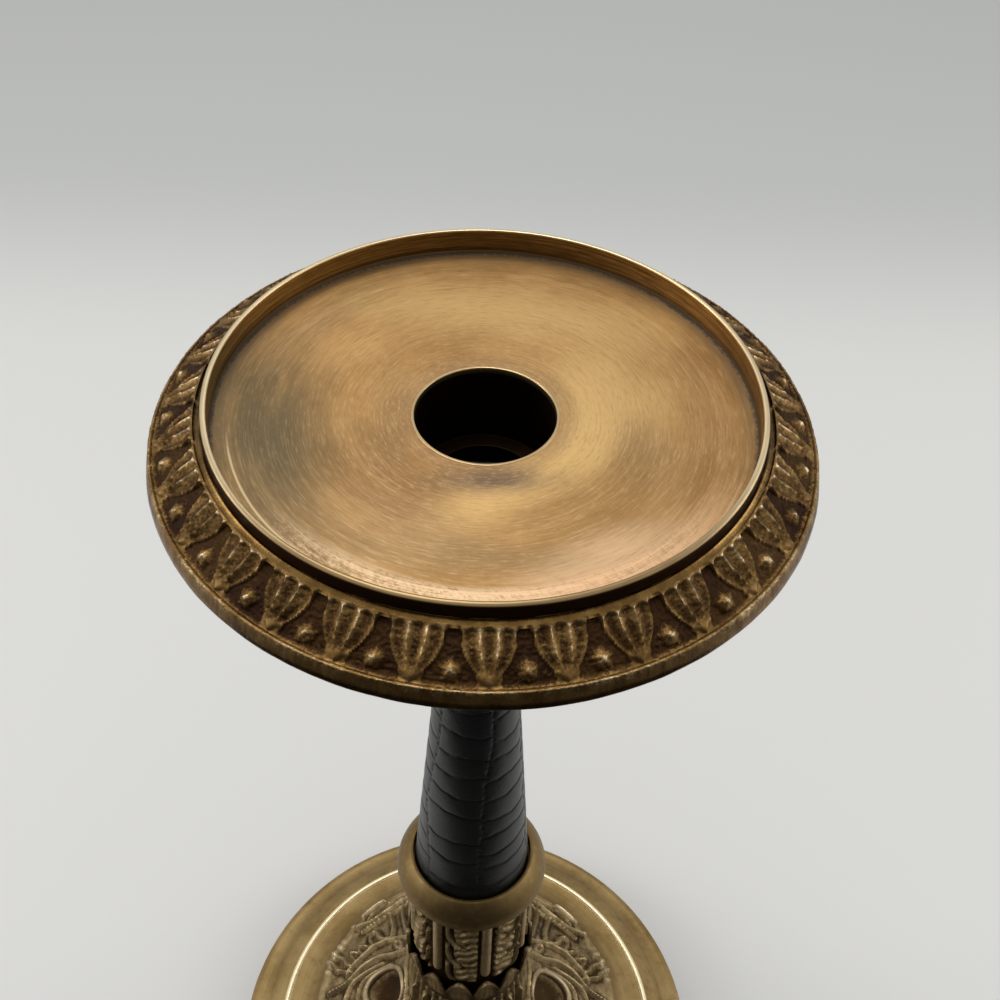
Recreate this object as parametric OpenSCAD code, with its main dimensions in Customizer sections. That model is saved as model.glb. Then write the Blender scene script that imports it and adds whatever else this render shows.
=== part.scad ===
/* [Felt and bottom cover] */
// Thickness of the felt pad under the foot
felt_t = 1.2; // [0.8:0.1:2.5]
// How far the felt stays inside the plinth's edge
felt_inset = 1.2; // [0.4:0.1:4]
// Thickness of the fibre cover that closes the hollow foot
cover_t = 2; // [1:0.1:3]

/* [Foot border] */
// Radius of the plain plinth edge at the bottom
plinth_r = 60.2; // [57:0.1:70]
// Height of the plain plinth edge
plinth_h = 2.2; // [1:0.1:4]
// Depth of the quirk between the plinth and the leaf band
quirk_d = 0.7; // [0.2:0.1:1.5]
// Height of the quirk
quirk_h = 0.6; // [0.2:0.1:1.5]
// Height of the leaf band
foot_band_h = 7.6; // [4:0.1:12]
// How far the leaf band leans in from its foot to its top
foot_band_lean = 2.6; // [1:0.1:4]
// How far the leaf band bulges past a straight line
foot_band_bulge = 0.9; // [0.2:0.1:1.5]
// Height that the border's leaves stand proud
foot_leaf_proud = 0.6; // [0.2:0.1:1]
// Number of leaves round the foot
foot_leaf_count = 32; // [24:2:40]
// Wall of the cast border ring
foot_border_wall = 4; // [2.5:0.1:6]

/* [Foot moulding] */
// How far the rounded rim stays inside the plinth's edge
rim_setback = 1.3; // [0.6:0.1:2]
// Radius of the roll of the rounded rim
foot_rim_roll = 1.9; // [1.2:0.1:2.2]
// Rise from the moulding's seat to the middle of the rim's roll
foot_rim_rise = 2.5; // [2:0.1:4]
// Radius at the middle of the polished bead
bead_r = 48.2; // [45:0.1:51]
// Half the width of the polished bead
bead_half_w = 0.62; // [0.3:0.02:1]
// Rise from the moulding's seat to the middle of the bead
bead_rise = 8.1; // [7:0.1:9]
// Rise from the moulding's seat to the ledge that carries the dome
ledge_rise = 10.9; // [10:0.1:13]
// Width of the ledge that carries the dome
ledge_w = 5.3; // [4:0.1:7]
// How far the ledge shows outside the dome's leaf edge
ledge_show = 0.6; // [0.3:0.1:1.5]
// Depth of the cove between the ledge and the bead, below a straight line
cove_d = 1.1; // [0.3:0.1:1.8]
// Height of the soft hump outside the bead
hump_h = 0.5; // [0.2:0.1:1]
// Depth of the valley between the hump and the rim, below a straight line
valley_d = 0.8; // [0.2:0.1:1]
// Thickness of the moulding under its ledge
moulding_web = 4.3; // [3.6:0.1:5]

/* [Scroll dome] */
// Radius at the dome's leaf edge
dome_edge_r = 39; // [34:0.1:41]
// Height of the dome
dome_h = 34.5; // [30:0.5:50]
// Radius at the dome's narrow top
dome_top_r = 13.4; // [12.4:0.1:16]
// Thickness of the dome at its edge
dome_edge_t = 1.5; // [1:0.1:2.5]
// Thickness of the dome's wall
dome_wall = 2.2; // [1.5:0.1:3]
// Steepness of the dome's flare
dome_flare_power = 2.3; // [1.8:0.1:3]
// Height that the acanthus leaves stand proud
dome_leaf_proud = 1.3; // [0.5:0.1:2]
// Number of scroll loops on the dome, with an acanthus leaf between each two
scroll_count = 4; // [3:1:6]
// Half the width of a scroll loop's opening
scroll_hole_r = 3.2; // [2:0.1:4]
// How far the middle of a loop's bar lies outside the dome
scroll_lift = 0.4; // [0:0.1:0.6]
// Radius of the bar that forms a scroll loop
scroll_bar_r = 0.9; // [0.6:0.1:1.3]
// Distance of a scroll loop from the axis
scroll_ring_r = 20; // [17:0.1:24]

/* [Neck and calyx] */
// Height of the neck casting
neck_h = 38.4; // [28:0.2:40]
// Radius of the neck behind its ornament
neck_core_r = 12.3; // [11:0.1:13]
// Number of upright rods round the neck
rod_count = 7; // [5:1:9]
// Radius of an upright rod
neck_rod_r = 1.25; // [0.8:0.05:1.6]
// Height that the neck's leaf panels stand proud
panel_proud = 1.7; // [0.8:0.1:2.2]
// How far the middle of a rod lies outside the neck
neck_rod_out = 0.5; // [0:0.05:0.8]
// Height of the band under the collar
neck_band_h = 1.6; // [1:0.1:3]
// How far the band under the collar stands proud
neck_band_proud = 2.1; // [1.9:0.1:3]
// Height of the calyx at the foot of the neck
calyx_h = 11.5; // [9:0.1:14]
// Thickness of the calyx
calyx_t = 1.3; // [0.8:0.1:2]
// How far the calyx leaves flare out at their tips
calyx_flare = 1.9; // [0.5:0.1:3]

/* [Collar] */
// Height of the plain collar
collar_h = 9.4; // [7.5:0.1:12]
// Radius of the collar at its widest
collar_r = 16.7; // [16:0.1:20]
// Thickness of the collar's lip round the column
collar_lip = 0.7; // [0.4:0.1:1.5]
// Depth to which the column is set into the collar
collar_seat_d = 2.6; // [1.5:0.1:4]
// Bulge of the collar's outline
collar_bow = 0.7; // [0.2:0.1:1]
// Gap between the column and the collar's lip
column_gap = 0.25; // [0.1:0.05:0.5]

/* [Column] */
// Length of the leather-covered column
column_len = 90; // [60:1:140]
// Radius of the column at its foot, over the leather
column_foot_r = 12.8; // [12:0.1:14]
// Radius of the column at its top, over the leather
column_top_r = 6.5; // [5.5:0.1:8]
// Thickness of the leather
leather_t = 0.9; // [0.5:0.1:1.4]

/* [Capital] */
// Height of the bead ring on top of the column
capital_ring_h = 3.6; // [2.4:0.1:5]
// Radius of the bead ring on top of the column
capital_ring_r = 8.6; // [7.6:0.1:10]
// Height of the capital
capital_h = 33.6; // [28:0.2:40]
// Radius at the capital's narrow foot
capital_foot_r = 7.2; // [6:0.1:8]
// Radius at the capital's belly
capital_belly_r = 17; // [16.6:0.1:20]
// Radius of the capital's top flange
capital_flange_r = 19.5; // [18.5:0.1:24]
// Thickness of the capital's top flange
capital_flange_t = 1.8; // [1:0.1:2]
// Height of the capital's narrow stem
capital_stem_h = 3.6; // [2:0.1:5]
// Bulge of the capital's belly
capital_bow = 1.8; // [0.6:0.1:2.4]
// Hollow of the capital's stem and shoulder
capital_hollow = 0.9; // [0.3:0.1:1.2]

/* [Dish] */
// Radius of the dish over its lip
dish_r = 45; // [42:0.1:47]
// Thickness of the dish's lip
dish_wall = 1.25; // [0.8:0.05:2]
// Depth of the dish from the lip to its floor
dish_depth = 5; // [4.2:0.1:8]
// Thickness of the dish's floor
dish_floor_t = 2.6; // [2:0.1:4]
// Height of the threaded boss under the dish
dish_boss_h = 6; // [4:0.1:7]
// Wall of the threaded boss under the dish
dish_boss_wall = 1.6; // [1:0.1:2]

/* [Leaf rim] */
// Thickness of the web that carries the dish
rim_web_t = 3; // [2:0.1:4]
// Height from the web's top to the flat shelf beside the lip
rim_shelf_rise = 4.7; // [3:0.1:5]
// Width of the flat shelf beside the lip
rim_shelf_w = 1; // [0.5:0.1:2]
// Width of the leaf band
rim_band_w = 7.3; // [5:0.1:9]
// Drop of the leaf band from its shelf to its outer edge
rim_band_drop = 5; // [3:0.1:6]
// How far the leaf band bulges past a straight line
rim_band_bulge = 0.8; // [0.2:0.1:1.4]
// Width of the raised edge outside the leaves
rim_edge_w = 0.5; // [0.3:0.05:1]
// Height of the plain side face
rim_side_h = 2.6; // [1.5:0.1:3.5]
// How far the plain side face flares out
rim_side_flare = 0.7; // [0.2:0.1:1.2]
// Height that the leaves stand proud
rim_leaf_proud = 0.9; // [0.3:0.1:1.2]
// Number of leaves round the dish
rim_leaf_count = 30; // [24:1:34]
// Radius of the beads between the leaf tips
rim_bead_r = 0.95; // [0.5:0.05:1.2]

/* [Candle socket] */
// Radius of the candle bore
candle_bore_r = 11.45; // [10.5:0.05:12]
// Depth of the candle bore below the dish's floor
candle_depth = 15; // [12:0.5:17]
// Wall of the socket where it comes up through the dish
socket_lip_wall = 0.6; // [0.4:0.05:0.8]
// Wall of the socket's threaded body
socket_wall = 2; // [1.5:0.1:2.2]
// Chamfer at the mouth of the bore
socket_chamfer = 0.25; // [0.1:0.05:0.35]
// Radius of the recess that holds the nut
nut_recess_r = 8.7; // [7.5:0.1:9.5]
// Thickness of the socket's floor
socket_floor_t = 2; // [1.5:0.1:3]

/* [Tie rod] */
// Radius of the tie rod
tie_rod_r = 3; // [2:0.1:3.5]
// Clearance round the tie rod
tie_rod_gap = 0.2; // [0.1:0.05:0.5]
// How far the tie rod stands out of its lower nut
tie_rod_proud = 2; // [0.5:0.1:3]
// Distance across the flats of both nuts
nut_flats = 10; // [8:0.1:11]
// Height of the upper nut
top_nut_h = 3.8; // [3:0.1:5]
// Height of the lower nut
foot_nut_h = 4.4; // [3:0.1:4.6]
// Thickness of both washers
washer_t = 1.2; // [0.8:0.1:1.6]
// Radius of the upper washer
top_washer_r = 7.7; // [6.6:0.1:8.4]
// Radius of the lower washer
foot_washer_r = 9; // [7:0.1:14]
// Radius of the clamp plate inside the foot
clamp_plate_r = 42; // [40:0.5:43]
// Thickness of the clamp plate
clamp_plate_t = 2; // [1.5:0.1:2.6]

/* [Hidden] */
$fn = 96;

// Overrun of every cut past the face that it goes through
overrun = 1;
// Clearance of a cover or a body in its recess
fit_gap = 0.15;
// How far the collar's foot stands outside the neck's band
collar_gap = 0.3;
// Room between the clamp plate's edge and the slope beside it
clamp_room = 2;
// How far the socket's nut stays below the candle's seat
nut_sink = 0.4;
// Turn of the leaf rim, so that its leaves stand as they do towards the viewer
rim_turn = 1.8;
// Turn of the neck's rods
neck_turn = 18;
// Turn of the foot border
foot_turn = 3;
// How far a leaf's root and tip stay inside the band that carries it
leaf_margin = 0.35;
// Distance from the dome's narrow top to the roots of its acanthus leaves
acanthus_root_gap = 2.2;
// Steps in the outline of a leaf band
band_steps = 5;
// Steps in each curved outline
curve_steps = 12;

// Heights of the seats, from the table up
border_z = felt_t;
foot_border_h = plinth_h + quirk_h + foot_band_h;
moulding_z = border_z + foot_border_h;
dome_z = moulding_z + ledge_rise;
neck_z = dome_z + dome_h;
collar_z = neck_z + neck_h;
column_z = collar_z + collar_h - collar_seat_d;
capital_ring_z = column_z + column_len;
capital_z = capital_ring_z + capital_ring_h;
rim_z = capital_z + capital_h;
dish_z = rim_z + rim_web_t;
floor_z = dish_z + dish_floor_t;
lip_z = floor_z + dish_depth;

// Radii that follow from the driving dimensions
rod_hole_r = tie_rod_r + tie_rod_gap;
border_top_r = plinth_r - foot_band_lean;
foot_rim_r = plinth_r - rim_setback;
cover_r = plinth_r - foot_border_wall - fit_gap;
socket_body_r = candle_bore_r + socket_wall;
socket_lip_r = candle_bore_r + socket_lip_wall;
boss_r = socket_body_r + dish_boss_wall;
cup_r = boss_r + fit_gap;
rim_shelf_r = dish_r + rim_shelf_w;
rim_band_r = rim_shelf_r + rim_band_w;
rim_side_r = rim_band_r + rim_edge_w + rim_side_flare;
rim_shelf_z = dish_z + rim_shelf_rise;
rim_edge_z = rim_shelf_z - rim_band_drop;
candle_seat_z = floor_z - candle_depth;
nut_recess_d = nut_sink + top_nut_h + washer_t;
nut_floor_z = candle_seat_z - nut_recess_d;
socket_z = nut_floor_z - socket_floor_t;
clamp_z = dome_z - moulding_web - clamp_plate_t;
foot_washer_z = clamp_z - washer_t;
foot_nut_z = foot_washer_z - foot_nut_h;
rod_bottom_z = foot_nut_z - tie_rod_proud;
rod_top_z = nut_floor_z + washer_t + top_nut_h;

// Outline of one border leaf: width share and length share, from its root to its tip
leaf_shares = [[0.74, 0], [0.96, 0.2], [1, 0.42], [0.84, 0.66], [0.5, 0.87], [0, 1]];
// Outline of one acanthus leaf
acanthus_shares = [[0.3, 0], [0.5, 0.25], [0.85, 0.42], [0.62, 0.5], [1, 0.66], [0.74, 0.74], [0.8, 0.88],
    [0.4, 0.92], [0, 1]];
// Outline of one pointed calyx leaf
calyx_shares = [[1, 0], [0.95, 0.35], [0.6, 0.72], [0, 1]];
// Share of the pitch that a border leaf's widest place fills
leaf_pitch_share = 0.78;
// Share of the pitch that an acanthus leaf fills
acanthus_pitch_share = 0.68;
// Share of the pitch between two rods that a neck panel fills
panel_pitch_share = 0.62;
// Share of the way from the bead to the rim that the hump takes
hump_span_share = 0.5;
// Share of the calyx's height below the gaps between its leaves
calyx_root_share = 0.4;
// Share of the pitch that a calyx leaf fills
calyx_pitch_share = 0.94;
// Share of the socket's height above which the capital's belly is widest
belly_share = 1 / 3;

// Points on a line from a to b that bulges by its sagitta to the left of its way
function bowed(a, b, bulge, steps = curve_steps) =
    let (d = b - a, n = [-d[1], d[0]] / norm(d))
    [for (i = [0 : steps]) let (t = i / steps) a + d * t + n * bulge * 4 * t * (1 - t)];

// Points on an arc
function arc(centre, r, from, to) =
    [for (i = [0 : curve_steps]) let (a = from + (to - from) * i / curve_steps)
        centre + r * [cos(a), sin(a)]];

// Closed outline of a leaf from its half shares, root at 0 and tip at length
function leaf_outline(shares, half_w, length) =
    concat([for (p = shares) [p[0] * half_w, p[1] * length]],
        [for (i = [len(shares) - 2 : -1 : 0]) [-shares[i][0] * half_w, shares[i][1] * length]]);

// Half the width of one of count leaves that share a circle
function half_pitch(r, count, share) = PI * r / count * share;

// Radius of the dome at a height above its edge
function dome_r(h) = dome_top_r + (dome_edge_r - dome_top_r) * pow(1 - h / (dome_h - dome_edge_t), dome_flare_power);

module ring(outline) {
    rotate_extrude() polygon(outline);
}

module disc(r, h, z, hole = 0) {
    translate([0, 0, z]) difference() {
        cylinder(r = r, h = h);
        if (hole > 0) translate([0, 0, -overrun]) cylinder(r = hole, h = h + 2 * overrun);
    }
}

module around(count, turn = 0) {
    for (i = [0 : count - 1]) rotate([0, 0, turn + i * 360 / count]) children();
}

// A leaf cut straight down, root at r_in and tip at r_out, towards -Y
module flat_leaf(shares, half_w, r_in, r_out, z, h) {
    translate([0, -r_in, z]) rotate([0, 0, 180]) linear_extrude(height = h)
        polygon(leaf_outline(shares, half_w, r_out - r_in));
}

// A leaf cut towards the axis, root at z and tip at z + length, from r_in out to r_out, towards -Y
module upright_leaf(shares, half_w, z, length, r_in, r_out) {
    translate([0, -r_in, z]) rotate([90, 0, 0]) linear_extrude(height = r_out - r_in)
        polygon(leaf_outline(shares, half_w, length));
}

module hex_nut(h, z) {
    translate([0, 0, z]) difference() {
        cylinder(r = nut_flats / 2 / cos(30), h = h, $fn = 6);
        translate([0, 0, -overrun]) cylinder(r = tie_rod_r, h = h + 2 * overrun);
    }
}

module felt_pad() {
    color("darkgreen") disc(plinth_r - felt_inset, felt_t, 0);
}

module bottom_cover() {
    color("saddlebrown") disc(cover_r, cover_t, felt_t);
}

module foot_border() {
    inner_r = plinth_r - foot_border_wall;
    band_z = border_z + plinth_h + quirk_h;
    ground = [[plinth_r - foot_leaf_proud, band_z], [border_top_r - foot_leaf_proud, moulding_z]];
    proud = [foot_leaf_proud, 0];
    leaf_h = foot_band_h - 2 * leaf_margin;
    half_w = half_pitch(plinth_r, foot_leaf_count, leaf_pitch_share);
    shell_r = inner_r + foot_border_wall / 3;
    color("peru") union() {
        ring(concat([[inner_r, moulding_z], [inner_r, border_z], [plinth_r, border_z],
            [plinth_r, border_z + plinth_h], [plinth_r - quirk_d - foot_leaf_proud, border_z + plinth_h],
            [plinth_r - quirk_d - foot_leaf_proud, band_z]],
            bowed(ground[0], ground[1], -foot_band_bulge, band_steps)));
        intersection() {
            ring(concat([[shell_r, moulding_z], [shell_r, band_z]],
                bowed(ground[0] + proud, ground[1] + proud, -foot_band_bulge, band_steps)));
            around(foot_leaf_count, foot_turn) translate([0, 0, moulding_z - leaf_margin]) mirror([0, 0, 1])
                upright_leaf(leaf_shares, half_w, 0, leaf_h, shell_r - overrun, plinth_r + overrun);
        }
    }
}

module foot_moulding() {
    seat_r = plinth_r - foot_border_wall;
    ledge_r = dome_edge_r + ledge_show;
    ledge_in_r = ledge_r - ledge_w;
    bead_z = moulding_z + bead_rise;
    roll = [foot_rim_r - foot_rim_roll, moulding_z + foot_rim_rise];
    bead_in = [bead_r - bead_half_w, bead_z];
    bead_out = [bead_r + bead_half_w, bead_z];
    roll_start = roll + foot_rim_roll * [cos(100), sin(100)];
    hump_end = bead_out + (roll_start - bead_out) * hump_span_share;
    web_z = dome_z - moulding_web;
    color("darkgoldenrod") ring(concat(
        [[ledge_in_r, dome_z]],
        bowed([ledge_r, dome_z], bead_in, -cove_d),
        arc([bead_r, bead_z], bead_half_w, 170, 10),
        bowed(bead_out, hump_end, hump_h),
        bowed(hump_end, roll_start, -valley_d),
        arc(roll, foot_rim_roll, 90, -40),
        [[border_top_r - foot_leaf_proud, moulding_z], [seat_r, moulding_z], [seat_r, roll[1] - foot_rim_roll / 2],
            [clamp_plate_r + clamp_room, web_z], [ledge_in_r, web_z]]));
}

module clamp_plate() {
    color("gray") disc(clamp_plate_r, clamp_plate_t, clamp_z, rod_hole_r);
}

// Outline of the dome's outside from its edge up, moved out by proud
function dome_outline(proud) = concat([[dome_edge_r, dome_z], [dome_edge_r, dome_z + dome_edge_t]],
    [for (i = [1 : curve_steps]) let (h = (dome_h - dome_edge_t) * i / curve_steps)
        [dome_r(h) + proud, dome_z + dome_edge_t + h]]);

module scroll_dome() {
    bore = [for (i = [curve_steps : -1 : 0]) let (h = (dome_h - dome_edge_t) * i / curve_steps)
        [max(dome_r(h) - dome_wall, rod_hole_r), dome_z + h * (1 - dome_wall / dome_h)]];
    half_w = half_pitch(dome_edge_r, scroll_count, acanthus_pitch_share);
    flare_h = dome_h - dome_edge_t;
    flare_w = dome_edge_r - dome_top_r;
    scroll_share = pow((scroll_ring_r - dome_top_r) / flare_w, 1 / dome_flare_power);
    slope = dome_flare_power * pow(scroll_share, dome_flare_power - 1) * flare_w / flare_h;
    lean = atan2(1, slope);
    color("goldenrod") difference() {
        union() {
            ring(concat(dome_outline(0), [[0, neck_z], [0, dome_z]]));
            intersection() {
                ring(concat(dome_outline(dome_leaf_proud), [[dome_top_r - dome_wall, neck_z],
                    [dome_top_r - dome_wall, dome_z + dome_edge_t / 2]]));
                around(scroll_count, 180 / scroll_count) flat_leaf(acanthus_shares, half_w,
                    dome_top_r + acanthus_root_gap, dome_edge_r - leaf_margin, dome_z, dome_h);
            }
            around(scroll_count) translate([0, -scroll_ring_r, neck_z - flare_h * scroll_share])
                rotate([lean, 0, 0]) translate([0, 0, scroll_lift]) rotate_extrude()
                    translate([scroll_hole_r + scroll_bar_r, 0]) circle(r = scroll_bar_r, $fn = 24);
        }
        ring(concat([[0, dome_z - overrun], [bore[len(bore) - 1][0], dome_z - overrun]],
            [for (i = [len(bore) - 1 : -1 : 1]) bore[i]], [[0, bore[1][1]]]));
        disc(rod_hole_r, dome_h + 2 * overrun, dome_z - overrun);
    }
}

module neck() {
    rod_z = neck_z + calyx_h;
    rod_len = neck_h - calyx_h - neck_band_h / 2;
    half_w = half_pitch(neck_core_r, rod_count, panel_pitch_share);
    color("goldenrod") difference() {
        union() {
            disc(neck_core_r, neck_h, neck_z);
            disc(neck_core_r + neck_band_proud, neck_band_h, collar_z - neck_band_h);
            around(rod_count, neck_turn) translate([0, -neck_core_r - neck_rod_out, rod_z])
                cylinder(r = neck_rod_r, h = rod_len);
            intersection() {
                disc(neck_core_r + panel_proud, rod_len, rod_z);
                around(rod_count, neck_turn + 180 / rod_count)
                    upright_leaf(acanthus_shares, half_w, rod_z - leaf_margin, neck_h, neck_core_r - overrun,
                        neck_core_r + panel_proud + overrun);
            }
        }
        disc(rod_hole_r, neck_h + 2 * overrun, neck_z - overrun);
    }
}

module calyx() {
    inner_r = neck_core_r + fit_gap;
    outer_r = inner_r + calyx_t;
    leaf_count = 2 * rod_count;
    half_w = half_pitch(outer_r + calyx_flare, leaf_count, calyx_pitch_share);
    color("peru") intersection() {
        ring([[inner_r, neck_z], [outer_r, neck_z], [outer_r + calyx_flare / 2, neck_z + calyx_h / 2],
            [outer_r + calyx_flare, neck_z + calyx_h], [inner_r + calyx_flare, neck_z + calyx_h],
            [inner_r, neck_z + calyx_h * calyx_root_share]]);
        union() {
            disc(outer_r + calyx_flare + overrun, calyx_h * calyx_root_share + overrun, neck_z - overrun);
            around(leaf_count, neck_turn) upright_leaf(calyx_shares, half_w, neck_z + leaf_margin, calyx_h,
                inner_r - overrun, outer_r + calyx_flare + overrun);
        }
    }
}

module collar() {
    mouth_r = column_foot_r + column_gap;
    foot_r = neck_core_r + neck_band_proud + collar_gap;
    top_z = collar_z + collar_h;
    color("darkgoldenrod") ring(concat(
        [[rod_hole_r, collar_z]],
        bowed([foot_r, collar_z], [collar_r, collar_z + collar_h / 2], -collar_bow / 2),
        bowed([collar_r, collar_z + collar_h / 2], [mouth_r + collar_lip, top_z], -collar_bow),
        [[mouth_r, top_z], [mouth_r, column_z], [rod_hole_r, column_z]]));
}

module column_core() {
    color("burlywood") ring([[rod_hole_r, column_z], [column_foot_r - leather_t, column_z],
        [column_top_r - leather_t, capital_ring_z], [rod_hole_r, capital_ring_z]]);
}

module leather_wrap() {
    color("black") ring([[column_foot_r - leather_t, column_z], [column_foot_r, column_z],
        [column_top_r, capital_ring_z], [column_top_r - leather_t, capital_ring_z]]);
}

module capital_ring() {
    half_h = capital_ring_h / 2;
    color("gold") ring(concat([[rod_hole_r, capital_ring_z]],
        arc([capital_ring_r - half_h, capital_ring_z + half_h], half_h, -90, 90), [[rod_hole_r, capital_z]]));
}

module capital() {
    half_flange = capital_flange_t / 2;
    belly_z = socket_z + (rim_z - socket_z) * belly_share;
    stem_top = [capital_foot_r, capital_z + capital_stem_h];
    shoulder = [cup_r + half_flange, rim_z - 2 * capital_flange_t];
    cup_z = dish_z - dish_boss_h;
    color("goldenrod") ring(concat(
        [[rod_hole_r, capital_z]],
        bowed([capital_foot_r, capital_z], stem_top, capital_hollow),
        bowed(stem_top, [capital_belly_r, belly_z], -capital_bow),
        bowed([capital_belly_r, belly_z], shoulder, -capital_hollow),
        arc([capital_flange_r - half_flange, rim_z - half_flange], half_flange, -90, 90),
        [[cup_r, rim_z], [cup_r, cup_z - fit_gap], [socket_body_r + fit_gap, cup_z - fit_gap],
            [socket_body_r + fit_gap, socket_z], [rod_hole_r, socket_z]]));
}

module leaf_rim() {
    inner_r = boss_r + fit_gap;
    wall_r = dish_r + fit_gap;
    side_z = rim_edge_z - rim_side_h;
    ground = [[rim_shelf_r, rim_shelf_z - rim_leaf_proud], [rim_band_r, rim_edge_z - rim_leaf_proud]];
    proud = [0, rim_leaf_proud - leaf_margin / 2];
    half_w = half_pitch(rim_shelf_r + rim_band_w / 2, rim_leaf_count, leaf_pitch_share);
    bead_at_r = rim_band_r - 2 * rim_bead_r;
    bead_z = rim_edge_z - rim_leaf_proud + (rim_band_r - bead_at_r) * rim_band_drop / rim_band_w;
    color("peru") union() {
        ring(concat([[wall_r, dish_z], [wall_r, rim_shelf_z], [rim_shelf_r, rim_shelf_z]],
            bowed(ground[0], ground[1], rim_band_bulge, band_steps),
            [[rim_band_r, rim_edge_z], [rim_band_r + rim_edge_w, rim_edge_z], [rim_side_r, side_z],
                [rim_side_r - rim_side_flare, side_z - rim_side_flare], [rim_shelf_r, rim_z], [inner_r, rim_z],
                [inner_r, dish_z]]));
        intersection() {
            ring(concat([[rim_shelf_r - leaf_margin, rim_z + rim_web_t / 2],
                [rim_shelf_r - leaf_margin, rim_shelf_z - leaf_margin / 2]],
                bowed(ground[0] + proud, ground[1] + proud, rim_band_bulge, band_steps),
                [[rim_band_r, rim_z + rim_web_t / 2]]));
            around(rim_leaf_count, rim_turn) flat_leaf(leaf_shares, half_w, rim_shelf_r - overrun,
                rim_band_r - leaf_margin, rim_z, lip_z - rim_z);
        }
        around(rim_leaf_count, rim_turn + 180 / rim_leaf_count)
            translate([0, -bead_at_r, bead_z + rim_band_bulge / 2]) sphere(r = rim_bead_r, $fn = 24);
    }
}

module dish() {
    lip_round = dish_wall / 2;
    boss_z = dish_z - dish_boss_h;
    color("tan") ring(concat(
        [[socket_lip_r, floor_z], [dish_r - dish_wall, floor_z]],
        arc([dish_r - lip_round, lip_z - lip_round], lip_round, 180, 0),
        [[dish_r, dish_z], [boss_r, dish_z], [boss_r, boss_z], [socket_body_r, boss_z], [socket_body_r, dish_z],
            [socket_lip_r, dish_z]]));
}

module candle_socket() {
    color("gold") ring([[rod_hole_r, socket_z], [socket_body_r, socket_z], [socket_body_r, dish_z],
        [socket_lip_r, dish_z], [socket_lip_r, floor_z], [candle_bore_r + socket_chamfer, floor_z],
        [candle_bore_r, floor_z - socket_chamfer], [candle_bore_r, candle_seat_z], [nut_recess_r, candle_seat_z],
        [nut_recess_r, nut_floor_z], [rod_hole_r, nut_floor_z]]);
}

module tie_rod() {
    color("silver") disc(tie_rod_r, rod_top_z - rod_bottom_z, rod_bottom_z);
}

module top_washer() {
    color("silver") disc(top_washer_r, washer_t, nut_floor_z, rod_hole_r);
}

module top_nut() {
    color("silver") hex_nut(top_nut_h, nut_floor_z + washer_t);
}

module foot_washer() {
    color("silver") disc(foot_washer_r, washer_t, foot_washer_z, rod_hole_r);
}

module foot_nut() {
    color("silver") hex_nut(foot_nut_h, foot_nut_z);
}

felt_pad();
bottom_cover();
foot_border();
foot_moulding();
clamp_plate();
scroll_dome();
neck();
calyx();
collar();
column_core();
leather_wrap();
capital_ring();
capital();
leaf_rim();
dish();
candle_socket();
tie_rod();
top_washer();
top_nut();
foot_washer();
foot_nut();
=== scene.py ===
import math

import bpy
import numpy as np
from mathutils import Matrix, Vector


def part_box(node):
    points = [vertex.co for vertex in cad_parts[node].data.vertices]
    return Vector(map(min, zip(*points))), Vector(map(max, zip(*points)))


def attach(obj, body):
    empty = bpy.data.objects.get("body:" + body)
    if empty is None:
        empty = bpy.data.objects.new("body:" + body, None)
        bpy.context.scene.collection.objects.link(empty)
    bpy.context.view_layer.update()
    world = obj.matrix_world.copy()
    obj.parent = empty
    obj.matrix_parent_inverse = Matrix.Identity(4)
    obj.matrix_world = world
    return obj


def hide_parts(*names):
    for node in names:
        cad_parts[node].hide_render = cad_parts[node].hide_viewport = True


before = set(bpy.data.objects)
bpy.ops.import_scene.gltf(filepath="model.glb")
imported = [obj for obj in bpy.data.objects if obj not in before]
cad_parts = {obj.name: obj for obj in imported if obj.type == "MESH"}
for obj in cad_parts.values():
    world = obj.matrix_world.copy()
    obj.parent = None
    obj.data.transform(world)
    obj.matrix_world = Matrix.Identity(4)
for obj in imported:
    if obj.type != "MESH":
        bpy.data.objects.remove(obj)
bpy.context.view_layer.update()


# The view
# The photo looks down on the dish from in front. The eye's place and the small turns of its
# axis away from the middle of the dish's lip come from the circles of the dish and the foot.
mm = 0.001
lip_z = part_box("dish")[1][2]
eye_back, eye_rise = 174.6 * mm, 150.6 * mm
eye = Vector((0, -eye_back, lip_z + eye_rise))
yaw, pitch, roll = math.radians(0.68), math.radians(4.3), math.radians(-1.85)
sensor_w, focal_share = 36.0, 1.45

forward = (Vector((0, 0, lip_z)) - eye).normalized()
right = Vector((1, 0, 0))
sight = Matrix.Rotation(-yaw, 3, "Y") @ Matrix((right, right.cross(forward), forward))
sight = Matrix.Rotation(roll, 3, "Z") @ Matrix.Rotation(-pitch, 3, "X") @ sight

lens = bpy.data.cameras.new("view")
lens.sensor_width = sensor_w
lens.lens = focal_share * sensor_w
lens.clip_start = 10 * mm
view = bpy.data.objects.new("view", lens)
view.matrix_world = Matrix.Translation(eye) @ Matrix((sight[0], sight[1], -sight[2])).transposed().to_4x4()
bpy.context.collection.objects.link(view)
bpy.context.scene.camera = view
bpy.context.scene.view_settings.view_transform = "Standard"


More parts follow.
